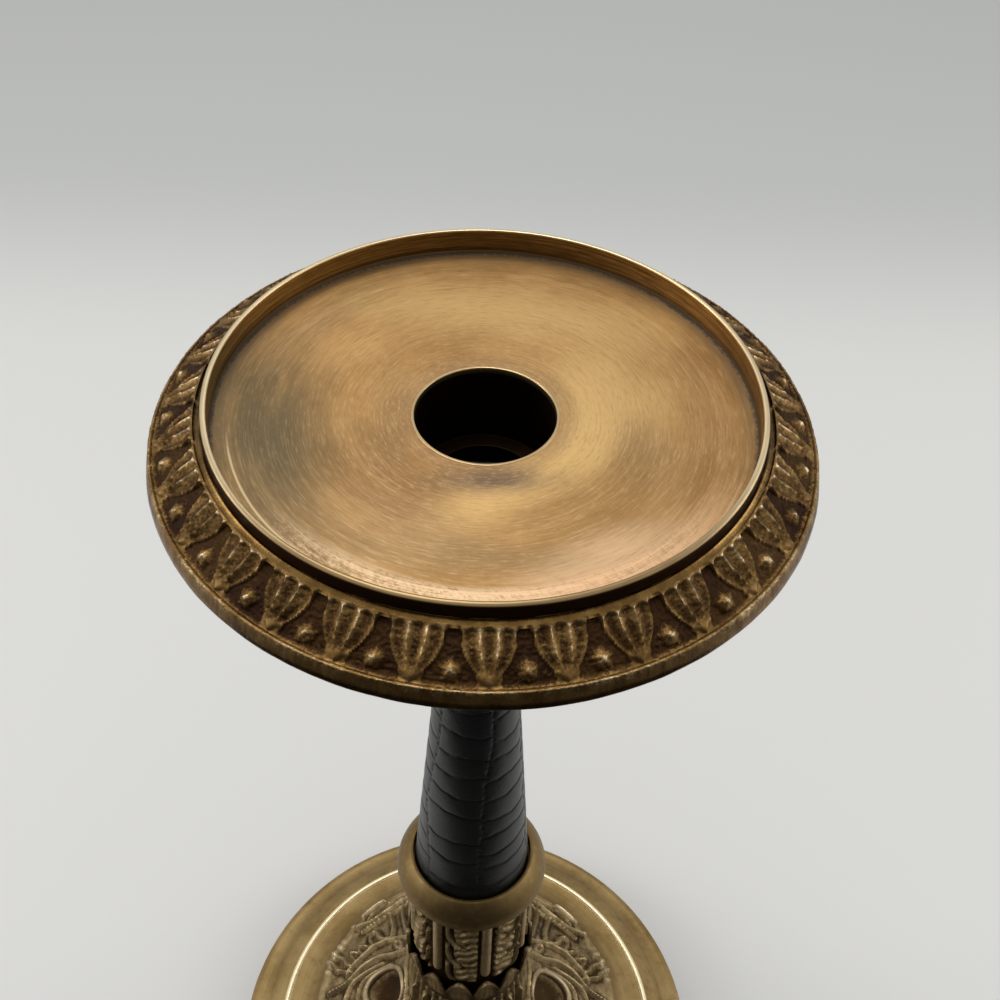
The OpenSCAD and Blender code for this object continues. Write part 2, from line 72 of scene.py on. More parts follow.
# The table and the studio
# The candlestick stands on a pale table under soft lamps. The front of its brass is dark in the
# photo, because it mirrors the unlit side of the room, and a black card stands in for that side.
class Value:
    """One output in a node tree; the operators add Math nodes."""

    def __init__(self, nodes, socket):
        self.nodes, self.socket = nodes, socket

    def math(self, operation, *others):
        return self.nodes.math(operation, self, *others)

    def __add__(self, other):
        return self.math("ADD", other)

    def __sub__(self, other):
        return self.math("SUBTRACT", other)

    def __rsub__(self, other):
        return self.nodes.math("SUBTRACT", other, self)

    def __mul__(self, other):
        return self.math("MULTIPLY", other)

    def __truediv__(self, other):
        return self.math("DIVIDE", other)

    def __rtruediv__(self, other):
        return self.nodes.math("DIVIDE", other, self)

    def __pow__(self, other):
        return self.math("POWER", other)

    __radd__ = __add__
    __rmul__ = __mul__

    def clamp(self):
        return self.math("MINIMUM", 1.0).math("MAXIMUM", 0.0)

    def ramp(self, low, high):
        """0 at low, 1 at high, smooth between and level beyond; low may lie above high."""
        inputs = {0: self, 1: low, 2: high, 3: 0.0, 4: 1.0}
        return self.nodes.node("ShaderNodeMapRange", {"interpolation_type": "SMOOTHSTEP"}, inputs)


class Nodes:
    """A node tree whose nodes are added one at a time."""

    def __init__(self, tree):
        self.tree = tree

    def node(self, kind, settings=None, inputs=None, output=0):
        made = self.tree.nodes.new(kind)
        for key, setting in (settings or {}).items():
            setattr(made, key, setting)
        for key, value in (inputs or {}).items():
            if isinstance(value, Value):
                self.tree.links.new(value.socket, made.inputs[key])
            else:
                made.inputs[key].default_value = value
        return Value(self, made.outputs[output]) if made.outputs else None

    def math(self, operation, *values):
        return self.node("ShaderNodeMath", {"operation": operation}, dict(enumerate(values)))


class Finish(Nodes):
    """A material, or the world."""

    def __init__(self, name, owner=None):
        self.owner = owner or bpy.data.materials.new(name)
        self.owner.use_nodes = True
        super().__init__(self.owner.node_tree)
        self.tree.nodes.clear()

    def place(self):
        return self.node("ShaderNodeTexCoord", output="Object")

    def split(self, vector):
        return [self.node("ShaderNodeSeparateXYZ", inputs={0: vector}, output=i) for i in range(3)]

    def spot(self):
        """x, y, z and the distance from the axis."""
        x, y, z = self.split(self.place())
        return x, y, z, (x * x + y * y) ** 0.5

    def vector(self, x, y, z):
        return self.node("ShaderNodeCombineXYZ", inputs={0: x, 1: y, 2: z})

    def noise(self, scale, detail=3.0, roughness=0.55, at=None, **more):
        inputs = {"Vector": at or self.place(), "Scale": scale, "Detail": detail, "Roughness": roughness}
        return self.node("ShaderNodeTexNoise", {"normalize": True}, {**inputs, **more})

    def cells(self, scale, output="Distance"):
        inputs = {"Vector": self.place(), "Scale": scale}
        return self.node("ShaderNodeTexVoronoi", {"feature": "F1"}, inputs, output)

    def attribute(self, name):
        return self.node("ShaderNodeAttribute", {"attribute_name": name}, output="Fac")

    def mix(self, share, low, high):
        low, high = [c if isinstance(c, Value) else (*c, 1.0) for c in (low, high)]
        return self.node("ShaderNodeMix", {"data_type": "RGBA"}, {0: share, 6: low, 7: high}, output=2)

    def coats(self, tone, *layers):
        """A colour and others laid over it in turn, each as (share that covers, colour)."""
        for share, colour in layers:
            tone = self.mix(share, tone, colour)
        return tone

    def bump(self, height, distance, strength=1.0):
        inputs = {"Height": height, "Distance": distance, "Strength": strength}
        return self.node("ShaderNodeBump", inputs=inputs)

    def surface(self, **inputs):
        """Ends the material in a Principled shader; input names have _ for spaces."""
        inputs = {key.replace("_", " "): value for key, value in inputs.items()}
        shader = self.node("ShaderNodeBsdfPrincipled", inputs=inputs)
        self.node("ShaderNodeOutputMaterial", inputs={"Surface": shader})
        return self.owner


def mesh_piece(name, points, faces, smooth_angle=40.0):
    """An object at the origin from points in metres and lists of their indices."""
    mesh = bpy.data.meshes.new(name)
    mesh.from_pydata([tuple(p) for p in points], [], [tuple(f) for f in faces])
    mesh.shade_smooth()
    mesh.set_sharp_from_angle(angle=math.radians(smooth_angle))
    mesh.update()
    piece = bpy.data.objects.new(name, mesh)
    bpy.context.collection.objects.link(piece)
    return piece


def stage_sheet(name, line, half_w):
    """A sheet that follows a line of (y, z) points and is twice half_w wide, all in metres."""
    points = [(x, y, z) for y, z in line for x in (-half_w, half_w)]
    faces = [(2 * i, 2 * i + 1, 2 * i + 3, 2 * i + 2) for i in range(len(line) - 1)]
    sheet = mesh_piece(name, points, faces)
    return sheet


floor_reach = 3.0
# Behind the stand, from 0.28 m to 0.45 m back, the table's colour turns greyer: painted shade on its far
# part.
painted_shade_from, painted_shade_to = 0.28, 0.45
table = stage_sheet("table_top", [(y, 0.0) for y in np.linspace(-floor_reach, floor_reach, 9)], floor_reach)
card = Finish("pale_card")
card_tone = card.mix(card.spot()[1].ramp(painted_shade_from, painted_shade_to), (0.69, 0.682, 0.655), (0.525, 0.53, 0.505))
table.data.materials.append(card.surface(
    Base_Color=card_tone, Roughness=0.9, Normal=card.bump(card.noise(900.0), 0.05 * mm, 0.3)))

# The black card lies in front of the stand and rises behind the camera. Only the metal sees it.
flag_near, flag_far, flag_top, flag_half_w = -0.068, -0.55, 0.9, 0.6
flag_gap, bend_r = 0.5 * mm, 0.15
bend = [(flag_far + bend_r - bend_r * math.sin(a), bend_r - bend_r * math.cos(a))
        for a in np.linspace(0, math.pi / 2, 13)]
flag = stage_sheet("black_card", [(flag_near, flag_gap), *bend, (flag_far, flag_top)], flag_half_w)
flag.visible_camera = flag.visible_diffuse = flag.visible_shadow = False
soot = Finish("black_paper")
soot_tone = soot.mix(soot.noise(300.0), (0.012, 0.012, 0.012), (0.03, 0.03, 0.03))
flag.data.materials.append(soot.surface(Base_Color=soot_tone, Roughness=0.9))

room = Finish("room", bpy.data.worlds.new("room"))
bpy.context.scene.world = room.owner
level_light, top_light = 0.56, 0.74
facing = room.split(room.node("ShaderNodeTexCoord", output="Generated"))
glow = facing[2].ramp(0.1, 0.9) * (top_light - level_light) + level_light
room_light = room.node("ShaderNodeBackground", inputs={"Color": (0.975, 0.985, 1.0, 1.0), "Strength": glow})
room.node("ShaderNodeOutputWorld", inputs={"Surface": room_light})


def soft_lamp(name, place, target, size, power):
    lamp = bpy.data.lights.new(name, "AREA")
    lamp.shape = "DISK"
    lamp.size = size
    lamp.energy = power
    hung = bpy.data.objects.new(name, lamp)
    hung.location = place
    hung.rotation_euler = (Vector(target) - Vector(place)).to_track_quat("-Z", "Y").to_euler()
    bpy.context.collection.objects.link(hung)


soft_lamp("lamp_above", (-0.1, 0.16, 0.85), (0, 0, 0.15), 0.35, 1.6)
soft_lamp("lamp_left", (-0.75, 0.05, 0.45), (0, 0, 0.15), 0.4, 1.3)
soft_lamp("lamp_right", (0.7, 0.1, 0.4), (0, 0, 0.12), 0.4, 1.0)


# Felt pad and bottom cover
# A disc of green wool felt, glued under a disc of pressed board that closes the hollow foot.
# Both are the CAD solids, seen only at the edge and from below.
def dress(node, material):
    """Gives a CAD node's own object its finish."""
    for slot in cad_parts[node].material_slots:
        slot.material = material


felt = Finish("green_felt")
tuft, mat = felt.noise(1400.0, 4.0, 0.7), felt.noise(160.0, 2.0)
felt_tone = felt.mix(tuft * 0.6 + mat * 0.4, (0.012, 0.035, 0.02), (0.045, 0.11, 0.06))
dress("felt_pad", felt.surface(
    Base_Color=felt_tone, Roughness=0.95, Sheen_Weight=0.4, Normal=felt.bump(tuft, 0.2 * mm)))

board = Finish("fibre_board")
fleck = board.noise(700.0, 5.0, 0.7)
board_tone = board.mix(fleck, (0.13, 0.075, 0.035), (0.27, 0.17, 0.09))
dress("bottom_cover", board.surface(
    Base_Color=board_tone, Roughness=0.8, Normal=board.bump(fleck, 0.1 * mm)))


# Foot border
# A cast brass ring that carries the whole stand: a plain edge, a groove, and a band of hanging
# leaves. Its hollow is closed by the board, and the moulding above is seated in its top.
def softened(corners, steps=4):
    """The closed section through corners (r, z) or (r, z, rounding radius), in mm."""
    line = []
    for i, corner in enumerate(corners):
        at = np.array(corner[:2], float)
        if len(corner) < 3:
            line.append(at)
            continue
        back, ahead = [np.array(corners[j % len(corners)][:2], float) - at for j in (i - 1, i + 1)]
        back_len, ahead_len = np.linalg.norm(back), np.linalg.norm(ahead)
        cut = min(corner[2], 0.45 * back_len, 0.45 * ahead_len)
        start, end = at + back / back_len * cut, at + ahead / ahead_len * cut
        for s in np.linspace(0, 1, steps + 1):
            line.append((1 - s) ** 2 * start + 2 * s * (1 - s) * at + s * s * end)
    return np.array(line)


def bowed(start, end, bulge, steps):
    """Points from start to end, both left out, that bulge to the left of their way."""
    start, end = np.array(start, float), np.array(end, float)
    way = end - start
    left = np.array([-way[1], way[0]]) / np.linalg.norm(way)
    return [tuple(start + way * s + left * bulge * 4 * s * (1 - s)) for s in np.arange(1, steps) / steps]


def smooth(value, low, high):
    share = np.clip((value - low) / (high - low), 0, 1)
    return share * share * (3 - 2 * share)


def down_band(line, first, rows):
    """How far down its carved band each point of a section lies, 0 at the top; -1 off the band."""
    down = np.full((len(line), 1), -1.0)
    down[first:first + rows, 0] = np.linspace(1, 0, rows)
    return down


def spun(r, turn, z):
    """Points in metres at radii and heights in mm and turns in radians from the front."""
    r, turn, z = np.broadcast_arrays(r, turn, z)
    return np.stack([r * np.sin(turn), -r * np.cos(turn), z], -1).reshape(-1, 3) * mm


def grid_faces(rows, columns, joined=True):
    """Quads between rows of points. The last row is joined to the first, and columns too if joined."""
    here = np.arange(rows * columns).reshape(rows, columns)
    beside = np.roll(here, -1, 1)
    quads = np.stack([here, beside, np.roll(beside, -1, 0), np.roll(here, -1, 0)], -1)
    if not joined:
        quads = quads[:, :-1]
    return quads.reshape(-1, 4)


def mark(piece, name, values):
    """Stores a value for each point of a piece, for its finish to read."""
    spots = piece.data.attributes.new(name, "FLOAT", "POINT")
    spots.data.foreach_set("value", np.asarray(values, np.float32).ravel())


def slice_of_ring(name, line, count, columns, carving=None):
    """One of count equal slices of a ring with the closed section line, seen anticlockwise with r
    to the right. carving maps lift, drop, relief and grain to arrays of rows by columns."""
    line = np.array(line, float)
    way = np.roll(line, -1, 0) - np.roll(line, 1, 0)
    way /= np.linalg.norm(way, axis=1, keepdims=True)
    shape = (len(line), columns + 1)
    carved = {key: np.zeros(shape) for key in ("lift", "drop", "relief", "grain")}
    for key, values in (carving or {}).items():
        carved[key] = np.broadcast_to(values, shape)
    r = line[:, :1] + way[:, 1:] * carved["lift"]
    z = line[:, 1:] - way[:, :1] * carved["lift"] - carved["drop"]
    points = spun(r, np.linspace(-1, 1, columns + 1)[None, :] * math.pi / count, z)
    piece = mesh_piece(name, points, grid_faces(*shape, joined=False))
    for key in ("relief", "grain"):
        mark(piece, key, carved[key])
    return piece


def repeat_tree():
    """The node tree that sets slices round the axis, joins them and roughens them as cast."""
    group = bpy.data.node_groups.new("slices_round_the_axis", "GeometryNodeTree")
    kinds = {"Geometry": "Geometry", "Count": "Int", "Turn": "Float", "Casting Skin": "Float",
             "Skin Size": "Float", "Waver": "Float", "Finish": "Material"}
    names = {}
    for name, kind in kinds.items():
        socket = group.interface.new_socket(name, in_out="INPUT", socket_type="NodeSocket" + kind)
        names[name] = socket.identifier
    group.interface.new_socket("Geometry", in_out="OUTPUT", socket_type="NodeSocketGeometry")
    tree = Nodes(group)
    given = [tree.node("NodeGroupInput", output=name) for name in kinds]
    one, count, turn, skin, skin_size, waver, finish = given
    angle = tree.node("GeometryNodeInputIndex") * (math.tau / count) + turn
    copies = tree.node("GeometryNodeInstanceOnPoints", inputs={
        "Points": tree.node("GeometryNodePoints", inputs={"Count": count}), "Instance": one,
        "Rotation": tree.node("ShaderNodeCombineXYZ", inputs={2: angle})})
    ring = tree.node("GeometryNodeRealizeInstances", inputs={0: copies})
    ring = tree.node("GeometryNodeMergeByDistance", inputs={"Geometry": ring, "Distance": 0.001 * mm})
    at = tree.node("GeometryNodeInputPosition")
    fine = tree.node("ShaderNodeTexNoise", inputs={"Vector": at, "Scale": skin_size, "Detail": 3.0})
    wide = tree.node("ShaderNodeTexNoise", inputs={"Vector": at, "Scale": 130.0, "Detail": 2.0})
    grain = tree.node("GeometryNodeInputNamedAttribute", {"data_type": "FLOAT"}, {"Name": "grain"})
    push = (fine - 0.5) * grain * skin + (wide - 0.5) * waver
    offset = tree.node("ShaderNodeVectorMath", {"operation": "SCALE"}, {
        0: tree.node("GeometryNodeInputNormal"), "Scale": push})
    ring = tree.node("GeometryNodeSetPosition", inputs={"Geometry": ring, "Offset": offset})
    ring = tree.node("GeometryNodeSetMaterial", inputs={"Geometry": ring, "Material": finish})
    tree.node("NodeGroupOutput", inputs={0: ring})
    return group, names


slices_tree, slices_inputs = repeat_tree()


def set_round(name, one, count, finish, turn=0.0, skin=0.0, skin_size=2600.0, waver=0.0):
    """A ring made of count copies of one, which is used up; skin and waver in mm, turn in degrees."""
    ring = one.modifiers.new("round", "NODES")
    ring.node_group = slices_tree
    settings = {"Count": count, "Turn": math.radians(turn), "Casting Skin": skin * mm,
                "Skin Size": skin_size, "Waver": waver * mm, "Finish": finish}
    for key, value in settings.items():
        ring[slices_inputs[key]] = value
    one.update_tag()
    mesh = bpy.data.meshes.new_from_object(one.evaluated_get(bpy.context.evaluated_depsgraph_get()))
    mesh.name = name
    bpy.data.objects.remove(one)
    piece = bpy.data.objects.new(name, mesh)
    bpy.context.collection.objects.link(piece)
    return piece


def fit(piece, node):
    """Puts a piece in the place of a CAD node."""
    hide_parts(node)
    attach(piece, "root")


def ring_piece(name, node, line, finish, slot, count=32, columns=8, carving=None, **settings):
    """Makes a piece of count slices and fits it."""
    one = slice_of_ring(name + "_slice", line, count, columns, carving)
    fit(set_round(name, one, count, finish, **settings), node)


def levels(node):
    """The lower and upper height of a CAD node in mm."""
    low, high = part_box(node)
    return low.z / mm, high.z / mm


cast = Finish("cast_brass")
relief, grain = cast.attribute("relief"), cast.attribute("grain")
plain = grain.ramp(0.12, 0.04)
clouds, blots, pits = cast.noise(70.0), cast.noise(420.0), cast.noise(2400.0, 4.0, 0.65)
speckled = (pits - 0.5) * (0.45 + grain * 0.85) + (blots - 0.5) * 0.4
wear_and_painted_light = (relief + speckled * (1 - plain * 0.6) + (clouds - 0.5) * 0.3).clamp()
in_rim = cast.spot()[2].ramp(150 * mm, 200 * mm)
cloudy, blotted = clouds.ramp(0.35, 0.65), blots.ramp(0.35, 0.65)
foot_brown = cast.mix(cloudy, (0.034, 0.016, 0.005), (0.066, 0.034, 0.009))
rim_brown = cast.mix(cloudy, (0.03, 0.011, 0.003), (0.058, 0.026, 0.006))
foot_bronze = cast.mix(blotted, (0.25, 0.18, 0.084), (0.342, 0.248, 0.12))
rim_bronze = cast.mix(blotted, (0.165, 0.09, 0.026), (0.25, 0.145, 0.046))
# The coats darken the hollows, as patina and as painted shade, and make the highest parts pale, as rubbed
# brass and as a painted highlight.
cast_tone = cast.coats(
    cast.mix(in_rim, foot_brown, rim_brown),
    (wear_and_painted_light.ramp(0.1, 0.58), cast.mix(in_rim, foot_bronze, rim_bronze)),
    (wear_and_painted_light.ramp(0.63 - in_rim * 0.05, 1.05 - in_rim * 0.05),
     cast.mix(in_rim, (0.51, 0.395, 0.245), (0.8, 0.61, 0.36))))
cast_rough = (0.68 - in_rim * 0.08 - wear_and_painted_light * 0.26 + (pits - 0.5) * 0.14) * (1 - plain * 0.55)
cast_metal = (0.86 + wear_and_painted_light * 0.14 + plain * 0.14).clamp()
cast_brass = cast.surface(Base_Color=cast_tone, Metallic=cast_metal, Roughness=cast_rough,
                          Normal=cast.bump(pits * (0.6 + grain) + blots * 0.5, 0.1 * mm, 0.7))

border_low, border_high = levels("foot_border")
border_leaves, border_turn, border_columns, border_rows, border_proud = 32, 3.0, 20, 30, 0.6
border_in_r, edge_r, edge_top, groove_r = 56.2, 60.2, border_low + 2.2, 58.9
band_foot, band_top = (59.6, border_low + 2.8), (57.0, border_high)
band = [band_foot, *bowed(band_foot, band_top, -0.9, border_rows), band_top]
plain_edge = softened([(border_in_r, border_low, 0.3), (edge_r, border_low, 0.4), (edge_r, edge_top, 0.5),
                       (groove_r, edge_top, 0.2), (groove_r, edge_top + 0.4, 0.2)])
border_in = [(border_in_r, border_high), (border_in_r, (border_low + border_high) / 2)]
border_line = np.vstack([plain_edge, band, border_in])
down = down_band(border_line, len(plain_edge), len(band))
across = np.linspace(-1, 1, border_columns + 1)[None, :]
leaf_w = np.interp(down, [0, 0.2, 0.42, 0.66, 0.87, 0.95], [0.58, 0.75, 0.78, 0.66, 0.39, 0.0])
on_leaf = smooth(leaf_w - np.abs(across), -0.02, 0.12) * smooth(down, 0.03, 0.08)
lobe = np.abs(np.sin(1.5 * math.pi * (across / np.maximum(leaf_w, 0.1) + 1)))
channel = lobe * smooth(down, 0.12, 0.25) * (1 - smooth(down, 0.6, 0.85))
border_carving = {"lift": border_proud * on_leaf * (1 - 0.55 * channel),
                  "relief": np.where(down < 0, 0.45, on_leaf * (0.85 - 0.6 * channel) + 0.05),
                  "grain": np.where(down < 0, 0.1, 1 - 0.7 * on_leaf)}
ring_piece("foot_leaf_border", "foot_border", border_line, cast_brass, "cast_brass", border_leaves,
           border_columns, border_carving, turn=border_turn, skin=0.35, waver=0.12)


# Foot moulding
# Turned from brass tube stock: a ledge for the dome, a smooth hollow, one bright polished bead,
# and a rounded rim. It lies in the top of the cast border and closes the foot from above.
def lathe_marks(finish, pitch, drag):
    """Marks that run round the axis: pitch per metre across them, drag along them."""
    x, y, z, reach = finish.spot()
    at = finish.vector((reach + z) * pitch, x / reach * drag, y / reach * drag)
    return finish.noise(1.0, 4.0, 0.5, at)


def arc(r, z, radius, start, end, steps):
    turns = np.radians(np.linspace(start, end, steps))
    return [(r + radius * math.cos(a), z + radius * math.sin(a)) for a in turns]


bead_r, bead_half = 48.2, 0.62
satin = Finish("turned_brass")
z, reach = satin.spot()[2:]
rings, scratches = lathe_marks(satin, 2400.0, 1.3), lathe_marks(satin, 7000.0, 7.0)
haze, dust = satin.noise(55.0, 4.0, 0.6), satin.noise(1800.0, 4.0, 0.7)
mottle = satin.noise(420.0, 5.0, 0.7)
collar_low, collar_high = levels("collar")
in_collar = z.ramp(collar_low * mm, (collar_low + 0.5) * mm)
# The hollow's ring beside the dome is darkened: painted shade next to the dome.
painted_shade_by_dome = reach.ramp(43.5 * mm, 39.5 * mm) * z.ramp(35 * mm, 30 * mm)
# The polished bead gets a colour paler than brass: a painted highlight over its real polish.
polish_and_painted_highlight = (reach - bead_r * mm).math("ABSOLUTE").ramp((bead_half + 0.15) * mm, (bead_half - 0.1) * mm)
satin_tone = satin.coats(
    satin.mix(haze.ramp(0.3, 0.7), (0.235, 0.15, 0.052), (0.38, 0.265, 0.115)),
    (rings.ramp(0.35, 0.75) * 0.24, (0.47, 0.335, 0.15)),
    (in_collar * 0.55, (0.15, 0.088, 0.026)),
    (dust.ramp(0.62, 0.8) * 0.5, (0.14, 0.09, 0.04)),
    (mottle.ramp(0.5, 0.68) * 0.3, (0.42, 0.3, 0.15)),
    (mottle.ramp(0.48, 0.3) * 0.45, (0.15, 0.098, 0.04)),
    (painted_shade_by_dome * 0.62, (0.15, 0.098, 0.046)),
    (polish_and_painted_highlight, (1.0, 0.86, 0.56)))
satin_rough = (0.44 + haze * 0.12 + scratches * 0.1 - in_collar * 0.06) * (1 - polish_and_painted_highlight * 0.3)
turned_brass = satin.surface(Base_Color=satin_tone, Metallic=1.0, Roughness=satin_rough,
                             Normal=satin.bump((scratches + rings * 0.5) * (1 - polish_and_painted_highlight), 0.03 * mm, 0.45))

seat_low, seat_high = levels("foot_moulding")
bead_z = seat_low + 8.1
roll_r, roll_z, roll_radius = 57.0, seat_low + 2.5, 1.9
opening_r, ledge_r, underside = 34.3, 39.6, seat_high - 4.3
bead_in, bead_out = (bead_r - bead_half, bead_z), (bead_r + bead_half, bead_z)
roll_top = arc(roll_r, roll_z, roll_radius, 100, 100, 1)[0]
hump_end = tuple((np.array(bead_out) + roll_top) / 2)
moulding_line = [
    (opening_r, underside), (44.0, underside), (border_in_r, roll_z - roll_radius / 2),
    (border_in_r, seat_low), (roll_r, seat_low), *arc(roll_r, roll_z, roll_radius, -40, 100, 16),
    *bowed(roll_top, hump_end, 0.55, 10), hump_end, *bowed(hump_end, bead_out, -0.3, 10),
    *arc(bead_r, bead_z - 0.25, bead_half + 0.05, 24, 156, 12),
    *bowed(bead_in, (ledge_r, seat_high), 1.1, 14), (ledge_r, seat_high - 0.1), (ledge_r - 0.3, seat_high),
    (opening_r, seat_high)]
ring_piece("turned_foot_moulding", "foot_moulding", moulding_line, turned_brass, "turned_brass")


# Clamp plate, tie rod, washers and nuts
# Zinc plated steel inside the stand: the rod runs from the nut under the candle to the nut in
# the foot, and its pull holds the whole stack together. They are the CAD solids.
zinc = Finish("zinc_steel")
grey = zinc.noise(900.0)
socket_low, socket_high = levels("candle_socket")
# The steel that lies inside the socket is painted near black: painted shade deep in the bore.
socket_shade = zinc.spot()[2].ramp((socket_low - 1) * mm, (socket_low + 1) * mm)
zinc_tone = zinc.coats(
    zinc.mix(grey, (0.4, 0.42, 0.44), (0.58, 0.6, 0.61)), (0.12, zinc.cells(320.0, "Color")),
    (socket_shade * 0.95, (0.03, 0.02, 0.014)))
zinc_steel = zinc.surface(Base_Color=zinc_tone, Metallic=1.0, Roughness=0.3 + grey * 0.2,
                          Normal=zinc.bump(grey, 0.03 * mm, 0.5))
for steel_part in ("clamp_plate", "tie_rod", "top_washer", "top_nut", "foot_washer", "foot_nut"):
    dress(steel_part, zinc_steel)


# Scroll dome
# A cast brass bell that flares from the neck to the ledge of the foot. Curled acanthus leaves run
# out over it, and between them lie rolled scrolls, each with an open loop in its middle.
dome_low, dome_high = levels("scroll_dome")
dome_edge_r, dome_top_r, dome_edge_t, dome_power = 39.0, 13.4, 1.5, 2.3
dome_wall, rod_hole_r = 2.2, 3.2
dome_flare_h = dome_high - dome_low - dome_edge_t
dome_columns, dome_rows = 592, 118


def dome_r(share):
    """The dome's radius at a share of its flare's height."""
    return dome_top_r + (dome_edge_r - dome_top_r) * (1 - share) ** dome_power


def flare_spots(shares):
    """Points (r, z) of the dome's outside at shares of its flare's height."""
    return np.stack([dome_r(shares), dome_low + dome_edge_t + dome_flare_h * shares], 1)


fine_shares = np.linspace(0, 1, 2000)
fine_steps = np.linalg.norm(np.diff(flare_spots(fine_shares), axis=0), axis=1)
fine_way = np.concatenate([[0], np.cumsum(fine_steps)])
flare_len = fine_way[-1]
flare = flare_spots(np.interp(np.linspace(0, flare_len, dome_rows), fine_way, fine_shares))
inner_shares = np.linspace(1, 0, 16)
inner = np.stack([np.maximum(dome_r(inner_shares) - dome_wall, rod_hole_r),
                  dome_low + dome_flare_h * inner_shares * (1 - dome_wall / (dome_high - dome_low))], 1)
dome_foot = [(dome_edge_r - 0.3, dome_low), (dome_edge_r, dome_low + 0.3), (dome_edge_r, dome_low + 0.9)]
dome_line = np.vstack([dome_foot, flare, [(8.0, dome_high), (rod_hole_r, dome_high),
                                          (rod_hole_r, dome_high - dome_wall)], inner[1:]])
row = np.arange(len(dome_line))[:, None]
flare_first, flare_last = len(dome_foot), len(dome_foot) + dome_rows - 1
on_flare = 1.0 * ((row >= flare_first) & (row <= flare_last))
out = np.interp(row, [flare_first, flare_last], [1, 0])
radius = dome_line[:, :1]
turn = np.linspace(-180, 180, dome_columns + 1)[None, :]
from_scroll = np.abs(np.abs(turn) - 90)


def flowing(points):
    """The line through the points with its corners cut twice, so that it bends softly."""
    line = np.array(points, float)
    for _ in range(2):
        near, far = line[:-1] * 0.75 + line[1:] * 0.25, line[:-1] * 0.25 + line[1:] * 0.75
        line = np.vstack([line[:1], np.stack([near, far], 1).reshape(-1, 2), line[-1:]])
    return line


def stroke(points, half_start, half_end):
    """A soft fold along (degrees from a side scroll, share outwards) points with its half width
    in mm at each end: its crest, how far each spot lies outside it, and its high and low side."""
    line = flowing(points)
    away = np.full((len(dome_line), dome_columns + 1), 99.0)
    half, lean = away.copy(), away.copy()
    for i, (start, end) in enumerate(zip(line, line[1:])):
        to_x = (from_scroll - start[0]) * math.pi / 180 * radius
        to_y = (out - start[1]) * flare_len
        run_x = (end[0] - start[0]) * math.pi / 180 * radius
        run_y = (end[1] - start[1]) * flare_len
        run = np.hypot(run_x, run_y)
        share = np.clip((to_x * run_x + to_y * run_y) / run ** 2, 0, 1)
        here = np.hypot(to_x - share * run_x, to_y - share * run_y)
        closer = here < away
        away = np.where(closer, here, away)
        half = np.where(closer, half_start + (half_end - half_start) * (i + share) / (len(line) - 1), half)
        lean = np.where(closer, (run_x * to_y - run_y * to_x) / run, lean)
    crest = np.clip(1 - (away / (1.35 * half)) ** 2, 0, 1) ** 1.5
    roll = np.tanh(1.6 * lean / half) * np.clip(1 - (away / (3.4 * half)) ** 2, 0, 1) ** 2
    return crest, away - half, roll


# The folds of a leaf between two scrolls: its stem and ribs, the side branch that bears a row of
# curls, the smooth ridges that turn round each scroll, and the small folds at the rim. Each is
# its height in mm, its points, and its half width at both ends.
strokes = [
    (1.2, [(40, 0.44), (37, 0.6), (32.5, 0.67), (29, 0.725), (21.5, 0.775), (17, 0.81),
            (13, 0.83)], 0.8, 0.8),
    (1.35, [(26, 0.3), (23, 0.45), (23.5, 0.58), (20.5, 0.665), (15.3, 0.735), (10.4, 0.78), (7.5, 0.82),
            (4.5, 0.93)], 1.05, 0.75),
    (1.3, [(66, 0.93), (58, 0.91), (52, 0.89), (46, 0.893), (41, 0.91), (38, 0.94), (36, 0.985)], 0.75, 0.9),
    (1.0, [(60, 0.86), (53, 0.835), (47, 0.853), (42, 0.868), (38.5, 0.885), (35, 0.905)], 0.55, 0.45),
    (1.1, [(56, 0.93), (51.6, 0.958), (47, 0.952), (43, 0.958), (40, 0.935), (36, 0.972)], 0.45, 0.45),
    (1.2, [(52, 0.992), (47, 0.996), (42, 0.992)], 0.7, 0.8),
    (1.0, [(37, 0.64), (40, 0.66), (43.7, 0.7), (46.5, 0.77), (49, 0.83)], 0.7, 0.5),
    (1.2, [(29, 0.12), (31, 0.27), (34, 0.335), (42, 0.45), (50.7, 0.574), (56, 0.72), (61, 0.854),
            (65, 0.96)], 0.6, 0.55),
    (1.05, [(43, 0.53), (48.4, 0.639), (54, 0.79), (60, 0.932)], 0.45, 0.5),
    (1.1, [(36, 0.655), (34.5, 0.7), (36, 0.76), (38, 0.8), (36, 0.824), (32.7, 0.81),
            (30.4, 0.757)], 0.75, 0.5),
    (1.1, [(30, 0.735), (28.6, 0.775), (28.4, 0.828), (26.3, 0.838), (24.0, 0.795)], 0.65, 0.45),
    (1.1, [(24.5, 0.8), (24.3, 0.85), (24.3, 0.878), (22.3, 0.865), (19.9, 0.815)], 0.6, 0.45),
    (1.0, [(43, 0.1), (45, 0.32), (51, 0.52), (57, 0.68), (64, 0.84), (69, 0.95)], 0.8, 0.7),
    (1.0, [(22, 0.99), (20.8, 0.94), (20.2, 0.905), (17.6, 0.87), (17.2, 0.825)], 0.7, 0.5),
    (0.95, [(18.5, 1.0), (17.2, 0.955), (14.8, 0.925), (14.6, 0.865), (13.4, 0.8)], 0.6, 0.5),
    (0.85, [(30, 0.5), (33, 0.56), (35, 0.52), (31, 0.46), (27, 0.455)], 0.6, 0.6),
    (1.25, [(66, 0.28), (68, 0.45), (66.5, 0.58), (69.5, 0.665), (74.7, 0.735), (79.6, 0.78), (82.5, 0.82),
            (85.5, 0.93)], 1.0, 0.75),
    (1.0, [(60, 0.7), (66, 0.76), (71, 0.8), (75, 0.835), (77, 0.86)], 0.8, 0.7),
    (0.9, [(72, 0.99), (73.5, 0.95), (75.5, 0.92), (76, 0.86)], 0.6, 0.5),
    (0.8, [(56, 0.06), (58, 0.26), (61, 0.42), (63, 0.55)], 0.8, 0.5)]
